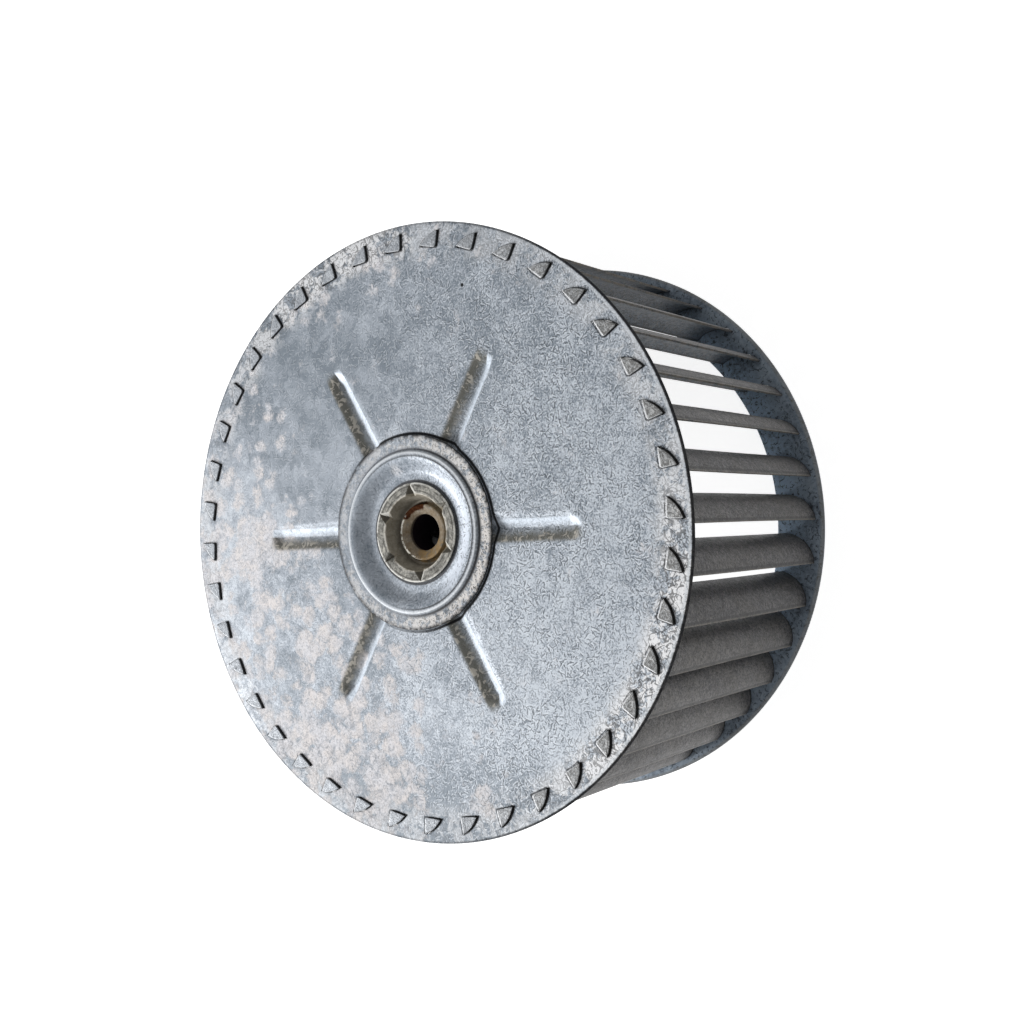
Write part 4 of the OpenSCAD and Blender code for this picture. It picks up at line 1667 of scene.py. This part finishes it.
class WHEEL_OT_stage(bpy.types.Operator):
    """Sets the camera, the lamps, the white surroundings and the floor"""

    bl_idname = "wheel.stage"
    bl_label = "Stage"

    def execute(self, context):
        s = sizes("stage")
        scene = context.scene
        camera = linked("Camera", bpy.data.cameras.new("Camera"))
        eye, aim = Vector(s.eye), Vector(s.aim)
        look = (aim - eye).to_track_quat("-Z", "Y").to_matrix().to_4x4()
        camera.matrix_world = Matrix.Translation(eye) @ look @ Matrix.Rotation(-s.roll, 4, "Z")
        camera.data.lens = s.lens
        camera.data.clip_start = 0.01
        scene.camera = camera
        target = Vector((0, 0, 0.06))
        for name, power, size, place in (
            ("Key", s.key, 0.4, (-0.44, 0.85, 0.68)),
            ("Fill", s.fill, 0.9, (0.2, -0.9, 0.9)),
        ):
            lamp = bpy.data.lights.new(name, "AREA")
            lamp.energy = power
            lamp.size = size
            stand = linked(name, lamp)
            stand.location = place
            stand.rotation_euler = (target - Vector(place)).to_track_quat("-Z", "Y").to_euler()
        self.surroundings(scene, s)
        self.floor()
        scene.view_settings.view_transform = "Standard"
        return {"FINISHED"}

    @staticmethod
    def seen(tree):
        """1 for camera, glossy and transmission rays, 0 for the rest"""
        path = tree.nodes.new("ShaderNodeLightPath").outputs
        rays = [path[f"Is {kind} Ray"] for kind in ("Camera", "Glossy", "Transmission")]
        return reduce(
            lambda a, b: add_node(
                tree, "ShaderNodeMath", (0, a), (1, b), operation="MAXIMUM"
            ).outputs[0],
            rays,
        )

    def surroundings(self, scene, s):
        """White to the eye and to metal, and a plain sky level for the light"""
        scene.world = bpy.data.worlds.new("White")
        scene.world.use_nodes = True
        tree = scene.world.node_tree
        white = (1, 1, 1, 1)
        light = tree.nodes["Background"]
        give(tree, light.inputs["Color"], white)
        give(tree, light.inputs["Strength"], s.sky)
        shown = add_node(tree, "ShaderNodeBackground", ("Color", white))
        either = add_node(
            tree, "ShaderNodeMixShader", (0, self.seen(tree)), (1, light.outputs[0]),
            (2, shown.outputs[0]),
        )
        give(tree, tree.nodes["World Output"].inputs[0], either.outputs[0])

    def floor(self):
        """A wide pale floor under the wheel that keeps a faint shadow"""
        floor_r, shadow_glow = 4, 0.82
        shape = bmesh.new()
        bmesh.ops.create_circle(shape, cap_ends=True, segments=96, radius=floor_r)
        mesh = stored(shape, bpy.data.meshes.new("floor"))
        floor = linked("floor", mesh)
        material = bpy.data.materials.new("pale_floor")
        material.use_nodes = True
        tree = material.node_tree
        surface = tree.nodes["Principled BSDF"]
        pale = (0.8, 0.8, 0.8)
        for socket, value in (
            ("Base Color", pale), ("Roughness", 0.9), ("Specular IOR Level", 0.1),
        ):
            give(tree, surface.inputs[socket], value)
        level = add_node(
            tree, "ShaderNodeMath", (0, self.seen(tree)), (1, shadow_glow), operation="MULTIPLY"
        )
        glow = add_node(tree, "ShaderNodeEmission", ("Strength", level.outputs[0]))
        both = add_node(
            tree, "ShaderNodeAddShader", (0, surface.outputs[0]), (1, glow.outputs[0])
        )
        give(tree, tree.nodes["Material Output"].inputs[0], both.outputs[0])
        mesh.materials.append(material)


class WHEEL_PT_panel(bpy.types.Panel):
    """Lists the pieces of the wheel in the 3D view's sidebar"""

    bl_idname = "WHEEL_PT_panel"
    bl_label = "Blower Wheel"
    bl_space_type = "VIEW_3D"
    bl_region_type = "UI"
    bl_category = "Blower Wheel"

    def draw(self, context):
        for operator in STEPS:
            self.layout.operator(operator.bl_idname)
        for kind, group in GROUPS.items():
            box = self.layout.box()
            box.label(text=group.__doc__)
            for name in group.__annotations__:
                box.prop(getattr(context.scene, kind), name)


GROUPS = {
    "wheel": WheelSizes,
    "back_plate": BackPlateSizes,
    "blade": BladeSizes,
    "inlet_ring": InletRingSizes,
    "hub_plate": HubPlateSizes,
    "hub": HubSizes,
    "set_screw": SetScrewSizes,
    "finish": Finishes,
    "stage": StageSettings,
}
STEPS = (
    WHEEL_OT_stage,
    WHEEL_OT_back_plate,
    WHEEL_OT_inlet_ring,
    WHEEL_OT_blades,
    WHEEL_OT_hub_plate,
    WHEEL_OT_hub,
    WHEEL_OT_set_screw,
)


def register():
    """Makes the settings, the operators and the panel known"""
    for made in (*GROUPS.values(), *STEPS, WHEEL_PT_panel):
        bpy.utils.register_class(made)
    for kind, group in GROUPS.items():
        setattr(bpy.types.Scene, kind, PointerProperty(type=group))


def unregister():
    """Takes the settings, the operators and the panel away"""
    for kind in GROUPS:
        delattr(bpy.types.Scene, kind)
    for made in (WHEEL_PT_panel, *reversed(STEPS), *reversed(GROUPS.values())):
        bpy.utils.unregister_class(made)


def main():
    """Builds the whole wheel"""
    register()
    for step in STEPS:
        group, name = step.bl_idname.split(".")
        getattr(getattr(bpy.ops, group), name)()


if __name__ == "__main__":
    main()
